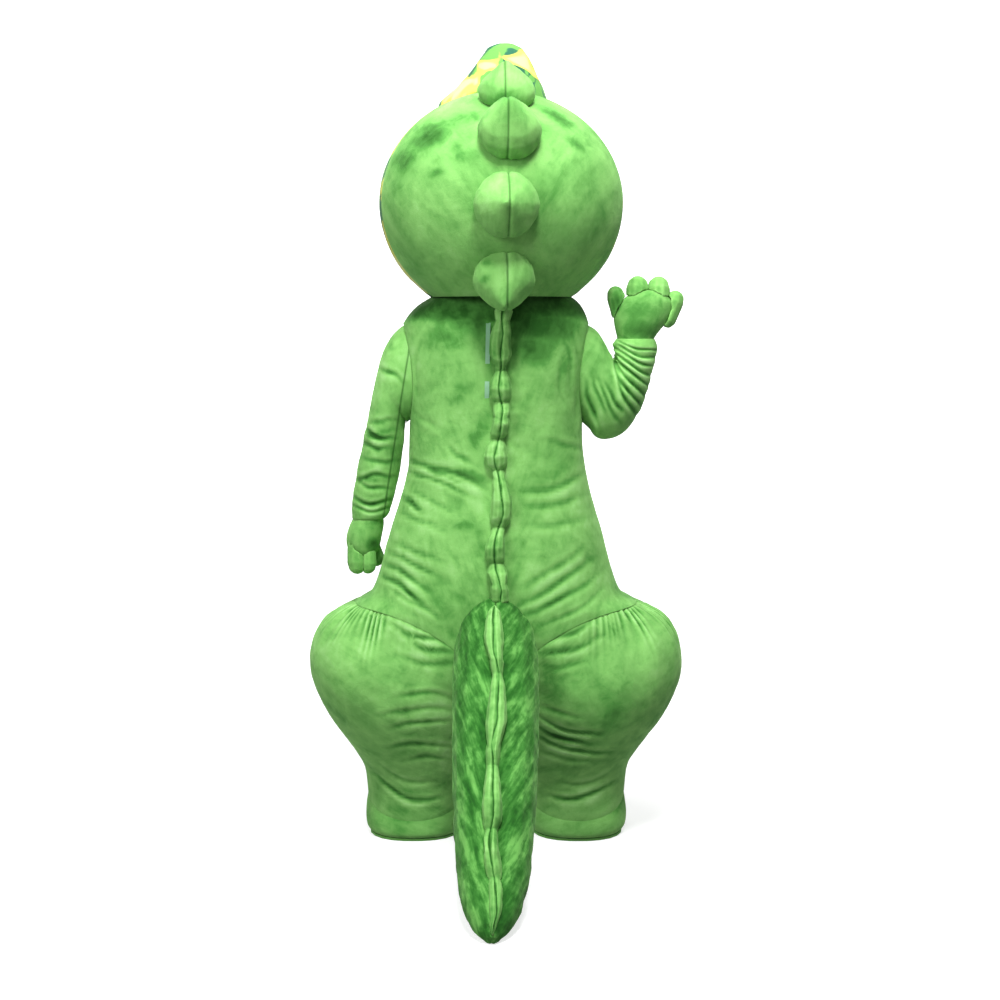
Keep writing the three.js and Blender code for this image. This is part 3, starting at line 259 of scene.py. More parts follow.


# sRGB shades of each plush, from crushed to brushed pile; the darker shades also give the painted shade
# of creases and marks, and the darkest body shade the painted shadow under the head
BODY_SHADES = ["#23551a", "#509040", "#7eba63", "#a0d587"]
TAIL_SHADES = ["#194b16", "#286520", "#408033", "#69aa52"]
PRINT_COLOURS = ["#639f4d", "#2b6049", "#cdc75a", "#d6d088"]
HEAD_TURN = math.radians(3)
# planes of sewn seams: a direction, and the distance along it in metres
SLEEVE_SEAM = (0.987, 0.0, 0.161, 0.2068)
HEAD_SEAM = (math.cos(HEAD_TURN), math.sin(HEAD_TURN), 0.0, -0.013 * math.cos(HEAD_TURN))

MATERIALS = {
    # mid green plush of the body, legs, feet and gloves
    "plush": plush("short_plush_green", BODY_SHADES, patchy=0.8, streaky=0.45),
    # brushed plush of the tail, with long streaks that shade strongly
    "dark_plush": plush(
        "brushed_plush_deep_green",
        TAIL_SHADES,
        patch_mm=90,
        patchy=0.8,
        streaky=1.7,
        stretch=5.0,
        streak_size=11.0,
        crush=0.6,
    ),
    # printed plush of the crest and the head's front
    "print": plush("printed_plush", BODY_SHADES, streaky=0.5, printed=PRINT_COLOURS),
    # the same green plush with its long seam, for the sleeve that hangs
    "sleeve": plush("short_plush_green_sleeve", BODY_SHADES, patchy=0.8, streaky=0.45, seam=SLEEVE_SEAM),
    # the same green plush with a centre seam, for the spikes on the head
    "seamed": plush("short_plush_green_seamed", BODY_SHADES, patchy=0.6, streaky=0.5, seam=HEAD_SEAM),
}


def tape_material():
    """Woven zip tape: fine ribs of about 0.8 mm across it."""
    material, tree = new_material("woven_tape")
    place = object_place(tree)
    ribs = node(
        tree,
        "ShaderNodeTexWave",
        {"wave_type": "BANDS", "bands_direction": "Z"},
        {"Vector": place, "Scale": 200.0, "Distortion": 0.6},
    )
    tone = ramp(tree, (ribs, "Fac"), [(0.2, linear("#6da07a")), (0.8, linear("#8cbb96"))])
    relief = (bump(tree, (ribs, "Fac"), 0.0003, 0.5), "Normal")
    surface(tree, {"Base Color": (tone, "Color"), "Roughness": 0.7, "IOR": 1.5, "Normal": relief})
    return material


def fleece_eye():
    """Smooth white fleece with a plain round dark patch sewn in its middle."""
    material, tree = new_material("eye_fleece")
    place = object_place(tree)
    fuzz = noise_at(tree, place, 500.0)
    tone = blend(tree, "MIX", point_value(tree, "patch"), linear("#f1f1ea"), linear("#1a1d1a"))
    relief = (bump(tree, fuzz, 0.0004, 0.4), "Normal")
    surface(tree, {"Base Color": tone, "Roughness": 0.75, "IOR": 1.5, "Normal": relief})
    return material


def net_material():
    """Knitted net: small dark cells of about 3 mm."""
    material, tree = new_material("knitted_net")
    place = object_place(tree)
    cells = node(
        tree,
        "ShaderNodeTexVoronoi",
        {"feature": "DISTANCE_TO_EDGE"},
        {"Vector": place, "Scale": 330.0, "Randomness": 0.1},
    )
    tone = ramp(tree, (cells, "Distance"), [(0.05, linear("#2f3d2e")), (0.16, linear("#0b0f0b"))])
    surface(tree, {"Base Color": (tone, "Color"), "Roughness": 0.85, "IOR": 1.5})
    return material


def sole_material():
    """Foam rubber sole with a fine pebbled face."""
    material, tree = new_material("foam_rubber")
    place = object_place(tree)
    pebbles = node(tree, "ShaderNodeTexVoronoi", {}, {"Vector": place, "Scale": 260.0})
    wear = noise_at(tree, place, 16.0, 4.0)
    tone = ramp(tree, wear, [(0.35, linear("#57963f")), (0.7, linear("#66a84d"))])
    relief = (bump(tree, (pebbles, "Distance"), 0.0006, 0.5), "Normal")
    surface(tree, {"Base Color": (tone, "Color"), "Roughness": 0.8, "IOR": 1.5, "Normal": relief})
    return material


MATERIALS["tape"] = tape_material()
MATERIALS["eye"] = fleece_eye()
MATERIALS["net"] = net_material()
MATERIALS["sole"] = sole_material()
SLOT_OF = {s["node"]: s["material_slot"] for s in frame["record"]["subparts"]}

# folds, dark marks and painted shade -----------------------------------------------------------
# Rows of (pieces, from, to, bow, width, depth), in mm. A fold runs between two points given as
# (x, height above the floor), bows to one side, and is mirrored to the front.
FOLDS = [
    # back, from the left armhole and side across the waist
    ("body", (226, 985), (30, 928), -10, 9, 5.5),
    ("body", (232, 960), (60, 905), -6, 7, 3.5),
    ("body", (150, 962), (70, 938), 4, 6, 4.0),
    ("body", (236, 890), (190, 862), -4, 8, 5.0),
    ("body", (215, 905), (120, 868), -8, 8, 2.5),
    ("body", (246, 850), (140, 820), -6, 9, 2.5),
    ("body", (120, 1030), (52, 985), 6, 9, 3.0),
    ("body", (205, 1110), (140, 1075), 6, 9, 2.0),
    # back, from the hips up towards the middle
    ("body", (296, 690), (190, 640), -8, 8, 5.0),
    ("body", (285, 720), (170, 668), -8, 8, 4.5),
    ("body", (270, 748), (150, 705), -6, 8, 3.5),
    ("body", (262, 775), (130, 738), -6, 9, 2.5),
    ("body", (250, 655), (140, 600), -4, 8, 3.5),
    ("body", (-60, 640), (-240, 742), 8, 10, 4.0),
    ("body", (-70, 612), (-255, 700), 8, 9, 3.5),
    ("body", (-75, 690), (-220, 775), 8, 11, 3.0),
    ("body", (-110, 580), (-268, 660), 6, 9, 3.0),
    ("body", (-60, 915), (-230, 955), 10, 11, 3.5),
    ("body", (-75, 880), (-235, 900), 6, 10, 2.5),
    ("body", (-80, 835), (-250, 846), 6, 11, 2.0),
    ("body", (-222, 1010), (-130, 1040), 5, 9, 2.5),
    # drags beside the armholes
    ("body", (-196, 1310), (-206, 1105), -10, 8, 4.5),
    ("body", (-176, 1285), (-186, 1160), -8, 8, 3.0),
    ("body", (-160, 1230), (-178, 1120), 6, 8, 2.5),
    ("body", (190, 1300), (204, 1130), 8, 9, 3.0),
    # haunches beside the tail
    ("legs", (112, 545), (260, 578), -10, 8, 6.0),
    ("legs", (112, 515), (235, 552), -8, 7, 4.5),
    ("legs", (112, 488), (250, 505), -8, 9, 3.5),
    ("legs", (-112, 545), (-240, 590), 10, 8, 5.5),
    ("legs", (-112, 512), (-260, 548), 9, 8, 4.0),
    ("legs", (-112, 480), (-225, 492), 6, 9, 3.0),
    # shins beside the tail
    ("legs", (112, 395), (250, 402), 14, 9, 4.0),
    ("legs", (112, 362), (285, 352), 14, 9, 4.0),
    ("legs", (112, 330), (262, 318), 12, 8, 4.0),
    ("legs", (112, 258), (272, 262), 14, 9, 5.0),
    ("legs", (112, 222), (230, 226), 10, 8, 3.0),
    ("legs", (-108, 345), (-260, 300), 10, 8, 6.5),
    ("legs", (-108, 318), (-225, 278), 8, 7, 5.0),
    ("legs", (-108, 292), (-285, 248), 16, 8, 6.0),
    ("legs", (-108, 382), (-215, 352), 8, 9, 3.5),
    ("legs", (-108, 250), (-230, 228), 8, 9, 3.0),
    # ankles
    ("legs", (310, 168), (150, 112), 22, 8, 6.5),
    ("legs", (300, 205), (160, 160), 16, 9, 3.5),
    ("legs", (-300, 150), (-140, 118), -16, 8, 6.0),
    ("legs", (-312, 190), (-170, 158), -14, 9, 3.5),
    ("feet", (330, 128), (300, 62), 8, 8, 3.5),
    ("feet", (-322, 132), (-296, 60), -8, 8, 4.0),
    ("feet", (-160, 96), (-245, 84), 5, 8, 3.0),
    ("feet", (170, 92), (255, 74), 5, 8, 3.0),
    # sleeve that hangs
    ("sleeve_left", (240, 1190), (306, 1222), 6, 8, 3.5),
    ("sleeve_left", (262, 1085), (322, 1078), 6, 8, 3.0),
    ("sleeve_left", (268, 1042), (340, 1066), -8, 7, 6.0),
    ("sleeve_left", (285, 1018), (345, 1030), -5, 7, 4.5),
    ("sleeve_left", (262, 985), (340, 992), -8, 8, 3.0),
    ("sleeve_left", (275, 942), (356, 935), 8, 7, 4.5),
    ("sleeve_left", (282, 912), (350, 926), -5, 6, 4.0),
    ("sleeve_left", (278, 878), (368, 884), -9, 7, 5.0),
    ("sleeve_left", (284, 856), (368, 862), -7, 6, 4.5),
    # sleeve that is raised: drags towards the elbow, then rings round the forearm
    ("sleeve_right", (-232, 1180), (-268, 1070), 8, 7, 3.5),
    ("sleeve_right", (-250, 1195), (-292, 1100), 8, 7, 3.5),
    ("sleeve_right", (-266, 1190), (-318, 1085), 8, 7, 4.0),
    ("sleeve_right", (-282, 1180), (-330, 1110), 6, 6, 4.0),
    ("sleeve_right", (-302, 1236), (-366, 1094), 10, 7, 6.0),
    ("sleeve_right", (-302, 1246), (-380, 1118), 12, 6, 6.5),
    ("sleeve_right", (-304, 1252), (-392, 1146), 12, 6, 6.0),
    ("sleeve_right", (-304, 1258), (-400, 1176), 11, 5, 6.5),
    ("sleeve_right", (-304, 1265), (-405, 1202), 10, 5, 6.0),
    ("sleeve_right", (-306, 1273), (-410, 1226), 9, 5, 6.0),
    ("sleeve_right", (-308, 1282), (-414, 1246), 8, 5, 5.0),
    ("sleeve_right", (-308, 1292), (-416, 1264), 6, 4, 4.5),
    # gloves, at the wrist and over the knuckles
    ("glove_right", (-330, 1298), (-420, 1268), 6, 6, 2.5),
    ("glove_left", (300, 838), (372, 836), 4, 6, 3.0),
]

# Dark marks: pile that lies the other way, and painted shade where light falls less. Rows of (pieces,
# middle, half width and half height, turn, darkness): the middle as (x, height above the floor), in mm
# and degrees.
NAP_AND_SHADE_MARKS = [
    # painted shadow of the head on the upper back, in this row and the next three
    ("body", (0, 1378), (340, 40), 0, 1.5),
    ("body", (59, 1350), (85, 50), 0, 0.8),
    ("body", (-125, 1330), (100, 55), 0, 1.0),
    ("body", (-97, 1270), (60, 45), -20, 0.85),
    ("body", (-178, 1250), (26, 60), 15, 0.5),
    ("body", (120, 1300), (60, 45), 20, 0.5),
    ("body", (92, 1157), (60, 34), -30, 0.55),
    ("body", (48, 1050), (26, 60), 25, 0.55),
    ("body", (62, 958), (60, 16), 16, 0.75),
    ("body", (155, 962), (26, 10), 18, 0.8),
    ("body", (72, 832), (36, 20), 0, 0.45),
    ("body", (222, 880), (30, 10), 20, 0.6),
    ("body", (-120, 935), (60, 16), -10, 0.4),
    ("body", (-140, 640), (60, 10), -28, 0.4),
    ("body", (214, 655), (46, 9), 28, 0.6),
    ("head", (164, 1793), (62, 34), -30, 0.75),
    ("head", (228, 1735), (40, 34), -35, 0.7),
    ("head", (145, 1696), (30, 16), -10, 0.6),
    ("head", (72, 1745), (50, 40), 0, 0.45),
    ("head", (82, 1830), (70, 30), -15, 0.5),
    ("head", (-150, 1842), (55, 20), 35, 0.7),
    ("head", (-199, 1770), (46, 14), 35, 0.55),
    ("head", (-117, 1680), (30, 40), 0, 0.4),
    ("head", (-95, 1800), (40, 50), 20, 0.45),
    ("legs", (-140, 430), (46, 110), 0, 0.5),
    ("legs", (130, 500), (30, 90), 0, 0.4),
    ("legs", (330, 560), (50, 26), 0, 0.4),
    ("legs", (-300, 560), (46, 24), 0, 0.45),
    ("legs", (-170, 290), (70, 14), 14, 0.7),
    ("legs", (240, 135), (70, 14), 16, 0.6),
    ("legs", (190, 340), (60, 14), 0, 0.4),
    ("feet", (-320, 92), (24, 40), 0, 0.6),
    ("feet", (250, 60), (70, 20), 0, 0.4),
    ("sleeve_left", (305, 1050), (40, 12), -14, 0.7),
    ("sleeve_left", (262, 1215), (30, 20), 0, 0.4),
    ("sleeve_left", (330, 935), (34, 12), 0, 0.55),
    ("sleeve_left", (325, 875), (44, 12), 0, 0.45),
    ("sleeve_right", (-350, 1190), (50, 70), 0, 0.4),
    ("sleeve_right", (-285, 1110), (30, 40), 0, 0.3),
    # painted shade where light falls less: the right sleeve and leg, the haunches, the lower head, the
    # back's right side and the raised glove
    ("sleeve_right", (-320, 1130), (120, 120), 0, 0.35),
    ("legs", (-300, 430), (150, 210), 0, 0.3),
    ("legs", (320, 440), (110, 190), 0, 0.22),
    ("head", (40, 1470), (300, 70), 0, 0.25),
    ("body", (-190, 1000), (60, 260), 0, 0.3),
    ("glove_right", (-365, 1360), (120, 100), 0, 0.5),
    ("glove_right", (-365, 1325), (60, 40), 20, 0.7),
    ("glove_right", (-312, 1390), (18, 40), 0, 0.8),
    ("glove_right", (-420, 1385), (14, 34), 0, 0.5),
    ("glove_left", (315, 820), (34, 26), 0, 0.6),
    ("glove_left", (320, 765), (20, 22), 0, 0.8),
    ("spike", (30, 1440), (20, 14), 0, 0.5),
    ("spike", (-20, 1880), (50, 24), 0, 0.5),
    ("spike", (20, 1480), (20, 12), 0, 0.4),
]


def bell(value, wide=1.0, middle=0.0):
    """A soft bump of height 1 round a middle value."""
    return np.exp(-(((value - middle) / wide) ** 2))


def picture_plane(points):
    """x and height above the floor, in mm."""
    return np.column_stack([points[:, 0], points[:, 2] - FLOOR]) / MM


def fold_depth(points, normals, group):
    """How far each point goes in (metres) for the folds on its piece."""
    flat = picture_plane(points)
    behind = np.clip((normals[:, 1] + 0.1) / 0.35, 0, 1)
    depth = np.zeros(len(points))
    for k, (start, stop, bow, wide, deep) in enumerate(row[1:] for row in FOLDS if row[0] == group):
        for side, share in ((behind, 1.0), (1 - behind, 0.75)):
            a, b = np.array(start, float), np.array(stop, float)
            if share < 1:
                # the same folds on the front lie a little higher or lower
                a[1] += (17 * k) % 31 - 12
                b[1] += (23 * k) % 29 - 14
            along = b - a
            t = ((flat - a) @ along) / (along @ along)
            off = flat - a - t[:, None] * along
            across = np.array([-along[1], along[0]]) / np.linalg.norm(along)
            inside = np.clip(t, 0, 1)
            wave = 2.4 * np.sin(inside * 7 + k)
            d = (off @ across - bow * 4 * inside * (1 - inside) - wave) / (0.8 * wide)
            past = np.abs(t - inside) * np.linalg.norm(along) / 14
            reach = bell(past) * (0.12 + 0.88 * np.sin(np.pi * np.clip(0.1 + 0.82 * inside, 0, 1)))
            # a trough with a soft ridge on either side
            profile = bell(d) - 0.3 * bell(d, 1.2, 1.9) - 0.12 * bell(d, 1.6, -2.4)
            depth += 0.72 * deep * MM * side * share * reach * profile
    return depth


def brushed(points, normals, group):
    """How dark each point is marked: pile that lies the other way, and painted shade."""
    flat = picture_plane(points)
    out = np.zeros(len(points))
    for on, middle, half, degrees, dark in NAP_AND_SHADE_MARKS:
        if on != group:
            continue
        turn = math.radians(degrees)
        away = flat - np.array(middle, float)
        u = (away[:, 0] * math.cos(turn) + away[:, 1] * math.sin(turn)) / half[0]
        v = (away[:, 1] * math.cos(turn) - away[:, 0] * math.sin(turn)) / half[1]
        near = dark * np.exp(-0.9 * (u * u + v * v))
        out = np.maximum(out, near * np.where(normals[:, 1] > -0.1, 1.0, 0.6))
    return out


def rumple(p, scale, stretch=(1, 1, 1)):
    q = Vector((p[0] * stretch[0], p[1] * stretch[1], p[2] * stretch[2])) * scale
    return noise.fractal(q, 0.9, 2.0, 3, noise_basis="PERLIN_ORIGINAL")


# Gathers where a leg is set into the hip seam, in mm: spacing round the leg, reach down, depth, and
# the distance from the middle of the costume where they start and where they are full.
GATHERS = {"spacing": 21, "reach": 62, "deep": 6.5, "from": 215, "full": 300}


def gathers(points, rim, sign):
    """Little upright folds under the hip seam, deepest on the outer half of the leg."""
    middle = np.array([sign * 0.22, -0.02])
    turn = np.arctan2(points[:, 1] - middle[1], points[:, 0] - middle[0])
    edge_turn = turn[rim]
    edge_z = points[rim, 2]
    count = 48
    bins = np.linspace(-math.pi, math.pi, count + 1)
    top = np.full(count, np.nan)
    for k in range(count):
        inside = (edge_turn >= bins[k]) & (edge_turn < bins[k + 1])
        if inside.any():
            top[k] = edge_z[inside].max()
    known = ~np.isnan(top)
    middles = (bins[:-1] + bins[1:]) / 2
    top_here = np.interp(turn, middles[known], top[known])
    below = np.clip(top_here - points[:, 2], 0, None) / MM
    round_mm = turn * 250
    warp = 9 * np.sin(round_mm / 37.0) + 5 * np.sin(round_mm / 16.0 + 1)
    warp += 0.08 * below * np.sin(round_mm / 60)
    wave = np.cos(2 * math.pi * (round_mm + warp) / GATHERS["spacing"])
    uneven = 0.65 + 0.35 * np.sin(round_mm / 23.0 + 2)
    aside = np.abs(points[:, 0]) / MM - GATHERS["from"]
    out = np.clip(aside / (GATHERS["full"] - GATHERS["from"]), 0.12, 1)
    fade = bell(below, GATHERS["reach"] * (0.7 + 0.5 * uneven))
    return GATHERS["deep"] * MM * out * uneven * fade * (0.5 - 0.5 * wave)


# making the pieces -----------------------------------------------------------------------------
def clean_copy(name):
    """The node's solid as one closed bmesh, its doubled points merged."""
    bm = bmesh.new()
    bm.from_mesh(frame["nodes"][name].data)
    bmesh.ops.remove_doubles(bm, verts=bm.verts, dist=0.00002)
    bm.normal_update()
    return bm


def outer_side(bm, limit=54):
    """Keeps only the outer face of a wall: the largest stretch with no edge sharper than limit."""
    cosine = math.cos(math.radians(limit))
    left = set(bm.faces)
    best, best_area = None, -1
    while left:
        seed = left.pop()
        group, todo = {seed}, [seed]
        while todo:
            face = todo.pop()
            for edge in face.edges:
                for other in edge.link_faces:
                    if other in left and face.normal.dot(other.normal) > cosine:
                        left.discard(other)
                        group.add(other)
                        todo.append(other)
        area = sum(f.calc_area() for f in group)
        if area > best_area:
            best, best_area = group, area
    gone = [f for f in bm.faces if f not in best]
    bmesh.ops.delete(bm, geom=gone, context="FACES")
    loose = [v for v in bm.verts if not v.link_faces]
    bmesh.ops.delete(bm, geom=loose, context="VERTS")


def keep_corners(bm, limit=28):
    """Holds the open edge's sharp turns in place, so that pieces still meet there once smoothed."""
    layer = bm.verts.layers.float.new("crease_vert")
    for vert in bm.verts:
        edges = [e for e in vert.link_edges if e.is_boundary]
        if len(edges) != 2:
            continue
        one, two = ((e.other_vert(vert).co - vert.co).normalized() for e in edges)
        if one.dot(two) > -math.cos(math.radians(limit)):
            vert[layer] = 1.0


def new_object(name, bm):
    mesh = bpy.data.meshes.new(name)
    bm.to_mesh(mesh)
    bm.free()
    obj = bpy.data.objects.new(name, mesh)
    bpy.context.scene.collection.objects.link(obj)
    return obj


def apply_all(obj):
    depsgraph = bpy.context.evaluated_depsgraph_get()
    done = bpy.data.meshes.new_from_object(obj.evaluated_get(depsgraph))
    obj.modifiers.clear()
    old = obj.data
    obj.data = done
    bpy.data.meshes.remove(old)


def read_points(mesh):
    points = np.empty(len(mesh.vertices) * 3)
    mesh.vertices.foreach_get("co", points)
    normals = np.empty(len(mesh.vertices) * 3)
    mesh.vertex_normals.foreach_get("vector", normals)
    return points.reshape(-1, 3), normals.reshape(-1, 3)


def read_edges(mesh):
    edges = np.empty(len(mesh.edges) * 2, int)
    mesh.edges.foreach_get("vertices", edges)
    return edges.reshape(-1, 2)


def write_points(mesh, points):
    mesh.vertices.foreach_set("co", points.astype(np.float32).ravel())
    mesh.update()


def write_values(mesh, name, values):
    layer = mesh.attributes.new(name, "FLOAT", "POINT")
    layer.data.foreach_set("value", np.broadcast_to(values, len(mesh.vertices)).astype(np.float32))


def rim_points(mesh):
    """The points on the piece's open edge."""
    loops = np.empty(len(mesh.loops), int)
    mesh.loops.foreach_get("edge_index", loops)
    uses = np.bincount(loops, minlength=len(mesh.edges))
    return np.unique(read_edges(mesh)[uses == 1])


def distance_to(points, targets):
    if not len(targets):
        return np.full(len(points), 1.0)
    tree = KDTree(len(targets))
    for k, p in enumerate(targets):
        tree.insert(p, k)
    tree.balance()
    return np.array([tree.find(p)[2] for p in points])


def averaged(values, edges, rounds):
    """Each value evened out with its neighbours', a number of times over."""
    count = np.bincount(edges.ravel(), minlength=len(values)).clip(1)
    shape = (-1,) + (1,) * (values.ndim - 1)
    for _ in range(rounds):
        summed = np.zeros_like(values)
        np.add.at(summed, edges[:, 0], values[edges[:, 1]])
        np.add.at(summed, edges[:, 1], values[edges[:, 0]])
        values = 0.5 * values + 0.5 * summed / count.reshape(shape)
    return values


def crease_shade_and_highlight(mesh, reach=9.0, full=1.6):
    """From -1 on the crown of a fold to 1 in the bottom of one: painted shade in the bottoms of folds and
    a painted highlight on their crowns.
    """
    points, normals = read_points(mesh)
    edges = read_edges(mesh)
    length = np.linalg.norm(points[edges[:, 0]] - points[edges[:, 1]], axis=1).mean() / MM
    rounds = int(np.clip((reach / length) ** 2 * 2, 2, 24))
    evened = averaged(points, edges, rounds)
    inward = ((evened - points) * normals).sum(1) / MM
    # the even curve of the whole piece isn't a fold
    inward -= averaged(inward, edges, rounds * 4)
    return np.clip(averaged(inward, edges, 1) / full, -0.8, 1)


def meet_neighbours(mesh, points, rim, by=0.9):
    """Moves the open edge outward along the cloth by some mm, so that sewn pieces meet with no gap."""
    edges = read_edges(mesh)
    inner = np.ones(len(points), bool)
    inner[rim] = False
    summed = np.zeros_like(points)
    count = np.zeros(len(points))
    for a, b in ((0, 1), (1, 0)):
        used = inner[edges[:, b]]
        np.add.at(summed, edges[used, a], points[edges[used, b]])
        np.add.at(count, edges[used, a], 1)
    reached = rim[count[rim] > 0]
    outward = points[reached] - summed[reached] / count[reached][:, None]
    outward /= np.linalg.norm(outward, axis=1)[:, None].clip(1e-9)
    points[reached] += outward * by * MM


def finish_piece(obj, name, lay=0.0, group="", finish=None, shade=1.0, rim=None):
    mesh = obj.data
    points, normals = read_points(mesh)
    from_edge = distance_to(points, points[rim]) if rim is not None else 1.0
    # painted shade in creases and painted highlight on fold crowns, weaker near the cut edge
    write_values(mesh, "hollow", crease_shade_and_highlight(mesh) * shade * np.clip(from_edge / 0.008, 0.15, 1))
    write_values(mesh, "brushed", brushed(points, normals, group))
    write_values(mesh, "lay", math.radians(lay))
    slot = SLOT_OF[name]
    mesh.materials.clear()
    mesh.materials.append(MATERIALS[finish or slot])
    for face in mesh.polygons:
        face.use_smooth = True
    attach(obj, "root")
    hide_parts(name)


def cloth_moves(points, normals, from_edge, group, rough, seam):
    """How far the cloth lies out (metres) from the solid's face."""
    inside = np.clip(from_edge / 0.02, 0, 1)
    wide = np.array([rumple(p, 8.0, (1, 1, 0.8)) for p in points]) * 2.6 * MM
    fine = np.array([rumple(p, 30.0, (1, 1, 1.1)) for p in points]) * 0.7 * MM
    pull = seam * MM * (bell(from_edge, 0.005) - 0.5 * bell(from_edge, 0.009, 0.014))
    folds = fold_depth(points, normals, group) * (0.45 + 0.55 * inside)
    return rough * (wide + fine) * inside - pull - folds


# the zip's tape shows in two stretches (middle and half length) and lies deep elsewhere, in mm
TAPE_SHOWN = ((1285, 52), (1170, 22))
TAPE_DEEP = 4.2


def sheet_piece(name, group, wall, levels, rough, seam, lay, lift=0.0):
    """A cut piece of cloth on the outer face of its solid, with its folds, seam edges and rumples.

    A piece with a lift in mm lies on top of another one, where it shows.
    """
    bm = clean_copy(name)
    outer_side(bm)
    bmesh.ops.join_triangles(
        bm, faces=bm.faces, angle_face_threshold=math.radians(50), angle_shape_threshold=math.radians(60)
    )
    keep_corners(bm)
    obj = new_object(f"cloth_{name}", bm)
    finer = obj.modifiers.new("finer", "SUBSURF")
    finer.levels = levels
    finer.boundary_smooth = "PRESERVE_CORNERS"
    apply_all(obj)
    mesh = obj.data
    points, normals = read_points(mesh)
    rim = rim_points(mesh)
    from_edge = np.full(len(points), 0.04) if lift else distance_to(points, points[rim])
    moved = cloth_moves(points, normals, from_edge, group, rough, seam)
    if lift:
        up = (points[:, 2] - FLOOR) / MM
        shown = np.max([np.exp(-(((up - middle) / half) ** 4)) for middle, half in TAPE_SHOWN], axis=0)
        moved += (lift * shown - TAPE_DEEP * (1 - shown)) * MM
    if group == "legs":
        moved -= gathers(points, rim, 1 if "left" in name else -1)
    points += normals * moved[:, None]
    if not lift:
        meet_neighbours(mesh, points, rim)
    write_points(mesh, points)
    finish_piece(obj, name, lay, group, "sleeve" if name == "sleeve_left" else None, rim=rim)
    back = obj.modifiers.new("thickness", "SOLIDIFY")
    back.thickness = wall * MM
    back.offset = -1
    apply_all(obj)
    obj.data.set_sharp_from_angle(angle=math.radians(60))  # the cut edge doesn't shade the face beside it


def padded_piece(
    name,
    voxel,
    group="",
    rough=1.0,
    rounds=3,
    grow=0.6,
    lay=0.0,
    finish=None,
    groove=None,
    deep=2.4,
    wide=4.0,
    line=0.0,
    shape=None,
    shade=0.5,
):
    """A stuffed piece: its solid remeshed, rounded off, plumped a little and rumpled.

    groove gives each point's distance from a sewn line that pulls the stuffing in. deep and wide
    are that line's size in mm, and line is how dark it shows. shape moves the points beforehand.
    """
    obj = new_object(f"pad_{name}", clean_copy(name))
    remesh = obj.modifiers.new("remesh", "REMESH")
    remesh.mode = "VOXEL"
    remesh.voxel_size = voxel * MM
    ease = obj.modifiers.new("ease", "SMOOTH")
    ease.factor = 0.6
    ease.iterations = rounds
    apply_all(obj)
    mesh = obj.data
    points, normals = read_points(mesh)
    if shape:
        write_points(mesh, shape(points, normals))
        points, normals = read_points(mesh)
    bumps = np.array([rumple(p, 20.0) for p in points]) * 1.2 * MM
    moved = rough * bumps + grow * MM - fold_depth(points, normals, group)
    if groove is not None:
        off = groove(points, normals)
        moved -= deep * MM * (bell(off, wide * MM) - 0.4 * bell(off, 0.007, 0.012))
    points += normals * moved[:, None]
    points[:, 2] = np.maximum(points[:, 2], FLOOR + 0.3 * MM)  # the tail rests on the floor
    write_points(mesh, points)
    finish_piece(obj, name, lay, group, finish, shade)
    if line:
        # the sewn line's dark line goes in with the painted shade and highlight of the folds
        values = crease_shade_and_highlight(mesh) * shade + line * bell(off, 0.0016)
        mesh.attributes["hollow"].data.foreach_set("value", values.astype(np.float32))
    return obj


# name, group, flat width and length in metres, how held, wall mm, levels, rumple, seam mm, lay
SHEETS = [
    ("back_left", "body", (0.46, 1.02), "hung", 2.5, 3, 1.0, 0.5, -20),
    ("back_right", "body", (0.46, 1.02), "hung", 2.5, 3, 1.0, 0.5, 20),
    ("front", "body", (1.00, 1.05), "hung", 2.5, 2, 1.0, 0.5, 0),
    ("sleeve_left", "sleeve_left", (0.50, 0.56), "hung", 2.5, 3, 0.8, 0.2, -10),
    ("sleeve_right", "sleeve_right", (0.50, 0.58), "gathered", 2.5, 3, 0.8, 0.2, 30),
    ("leg_left_back", "legs", (0.72, 0.66), "gathered", 2.5, 3, 1.0, 0.7, -60),
    ("leg_left_front", "legs", (0.80, 0.66), "gathered", 2.5, 2, 1.0, 0.7, -60),
    ("leg_right_back", "legs", (0.72, 0.66), "gathered", 2.5, 3, 1.0, 0.7, 60),
    ("leg_right_front", "legs", (0.80, 0.66), "gathered", 2.5, 2, 1.0, 0.7, 60),
    ("foot_left", "feet", (0.92, 0.24), "stretched", 2.5, 2, 0.8, 0.3, -70),
    ("foot_right", "feet", (0.92, 0.24), "stretched", 2.5, 2, 0.8, 0.3, 70),
    ("glove_left", "glove_left", (0.34, 0.22), "stretched", 2.0, 3, 0.6, 0.3, 0),
    ("glove_right", "glove_right", (0.40, 0.22), "stretched", 2.0, 3, 0.6, 0.3, 30),
    ("head_back_left", "head", (0.48, 0.80), "stretched", 9.0, 3, 0.6, 0.7, -35),
    ("head_back_right", "head", (0.48, 0.80), "stretched", 9.0, 3, 0.6, 0.7, 35),
    ("head_front", "head_front", (1.25, 0.85), "stretched", 9.0, 2, 0.5, 0.7, 0),
]
for name, group, flat, held, wall, levels, rough, seam, lay in SHEETS:
    sheet_piece(name, group, wall, levels, rough, seam, lay)
# the zip's tape follows the same bumps of the back it is sewn on
sheet_piece(
    "zip_tape", "body", 1.0, 3, 1.0, 0.0, 0, lift=2.2
)


def head_seam(points, normals):
    """Distance from the plane through the head's centre-back seam."""
    return np.abs(points @ np.array(HEAD_SEAM[:3]) - HEAD_SEAM[3])


def crown_line(points, normals):
    """The x of a ridge's crown at each point's height, found from the ridge's own shape."""
    z = points[:, 2]
    steps = np.linspace(z.min(), z.max() + 1e-6, 60)
    middles = (steps[:-1] + steps[1:]) / 2
    crown = normals[:, 1] > 0.2
    line = np.full(len(middles), np.nan)
    for k, (a, b) in enumerate(zip(steps[:-1], steps[1:])):
        here = crown & (z >= a) & (z < b)
        if here.any():
            line[k] = points[here, 0].mean()
    known = ~np.isnan(line)
    return np.interp(z, middles[known], line[known])


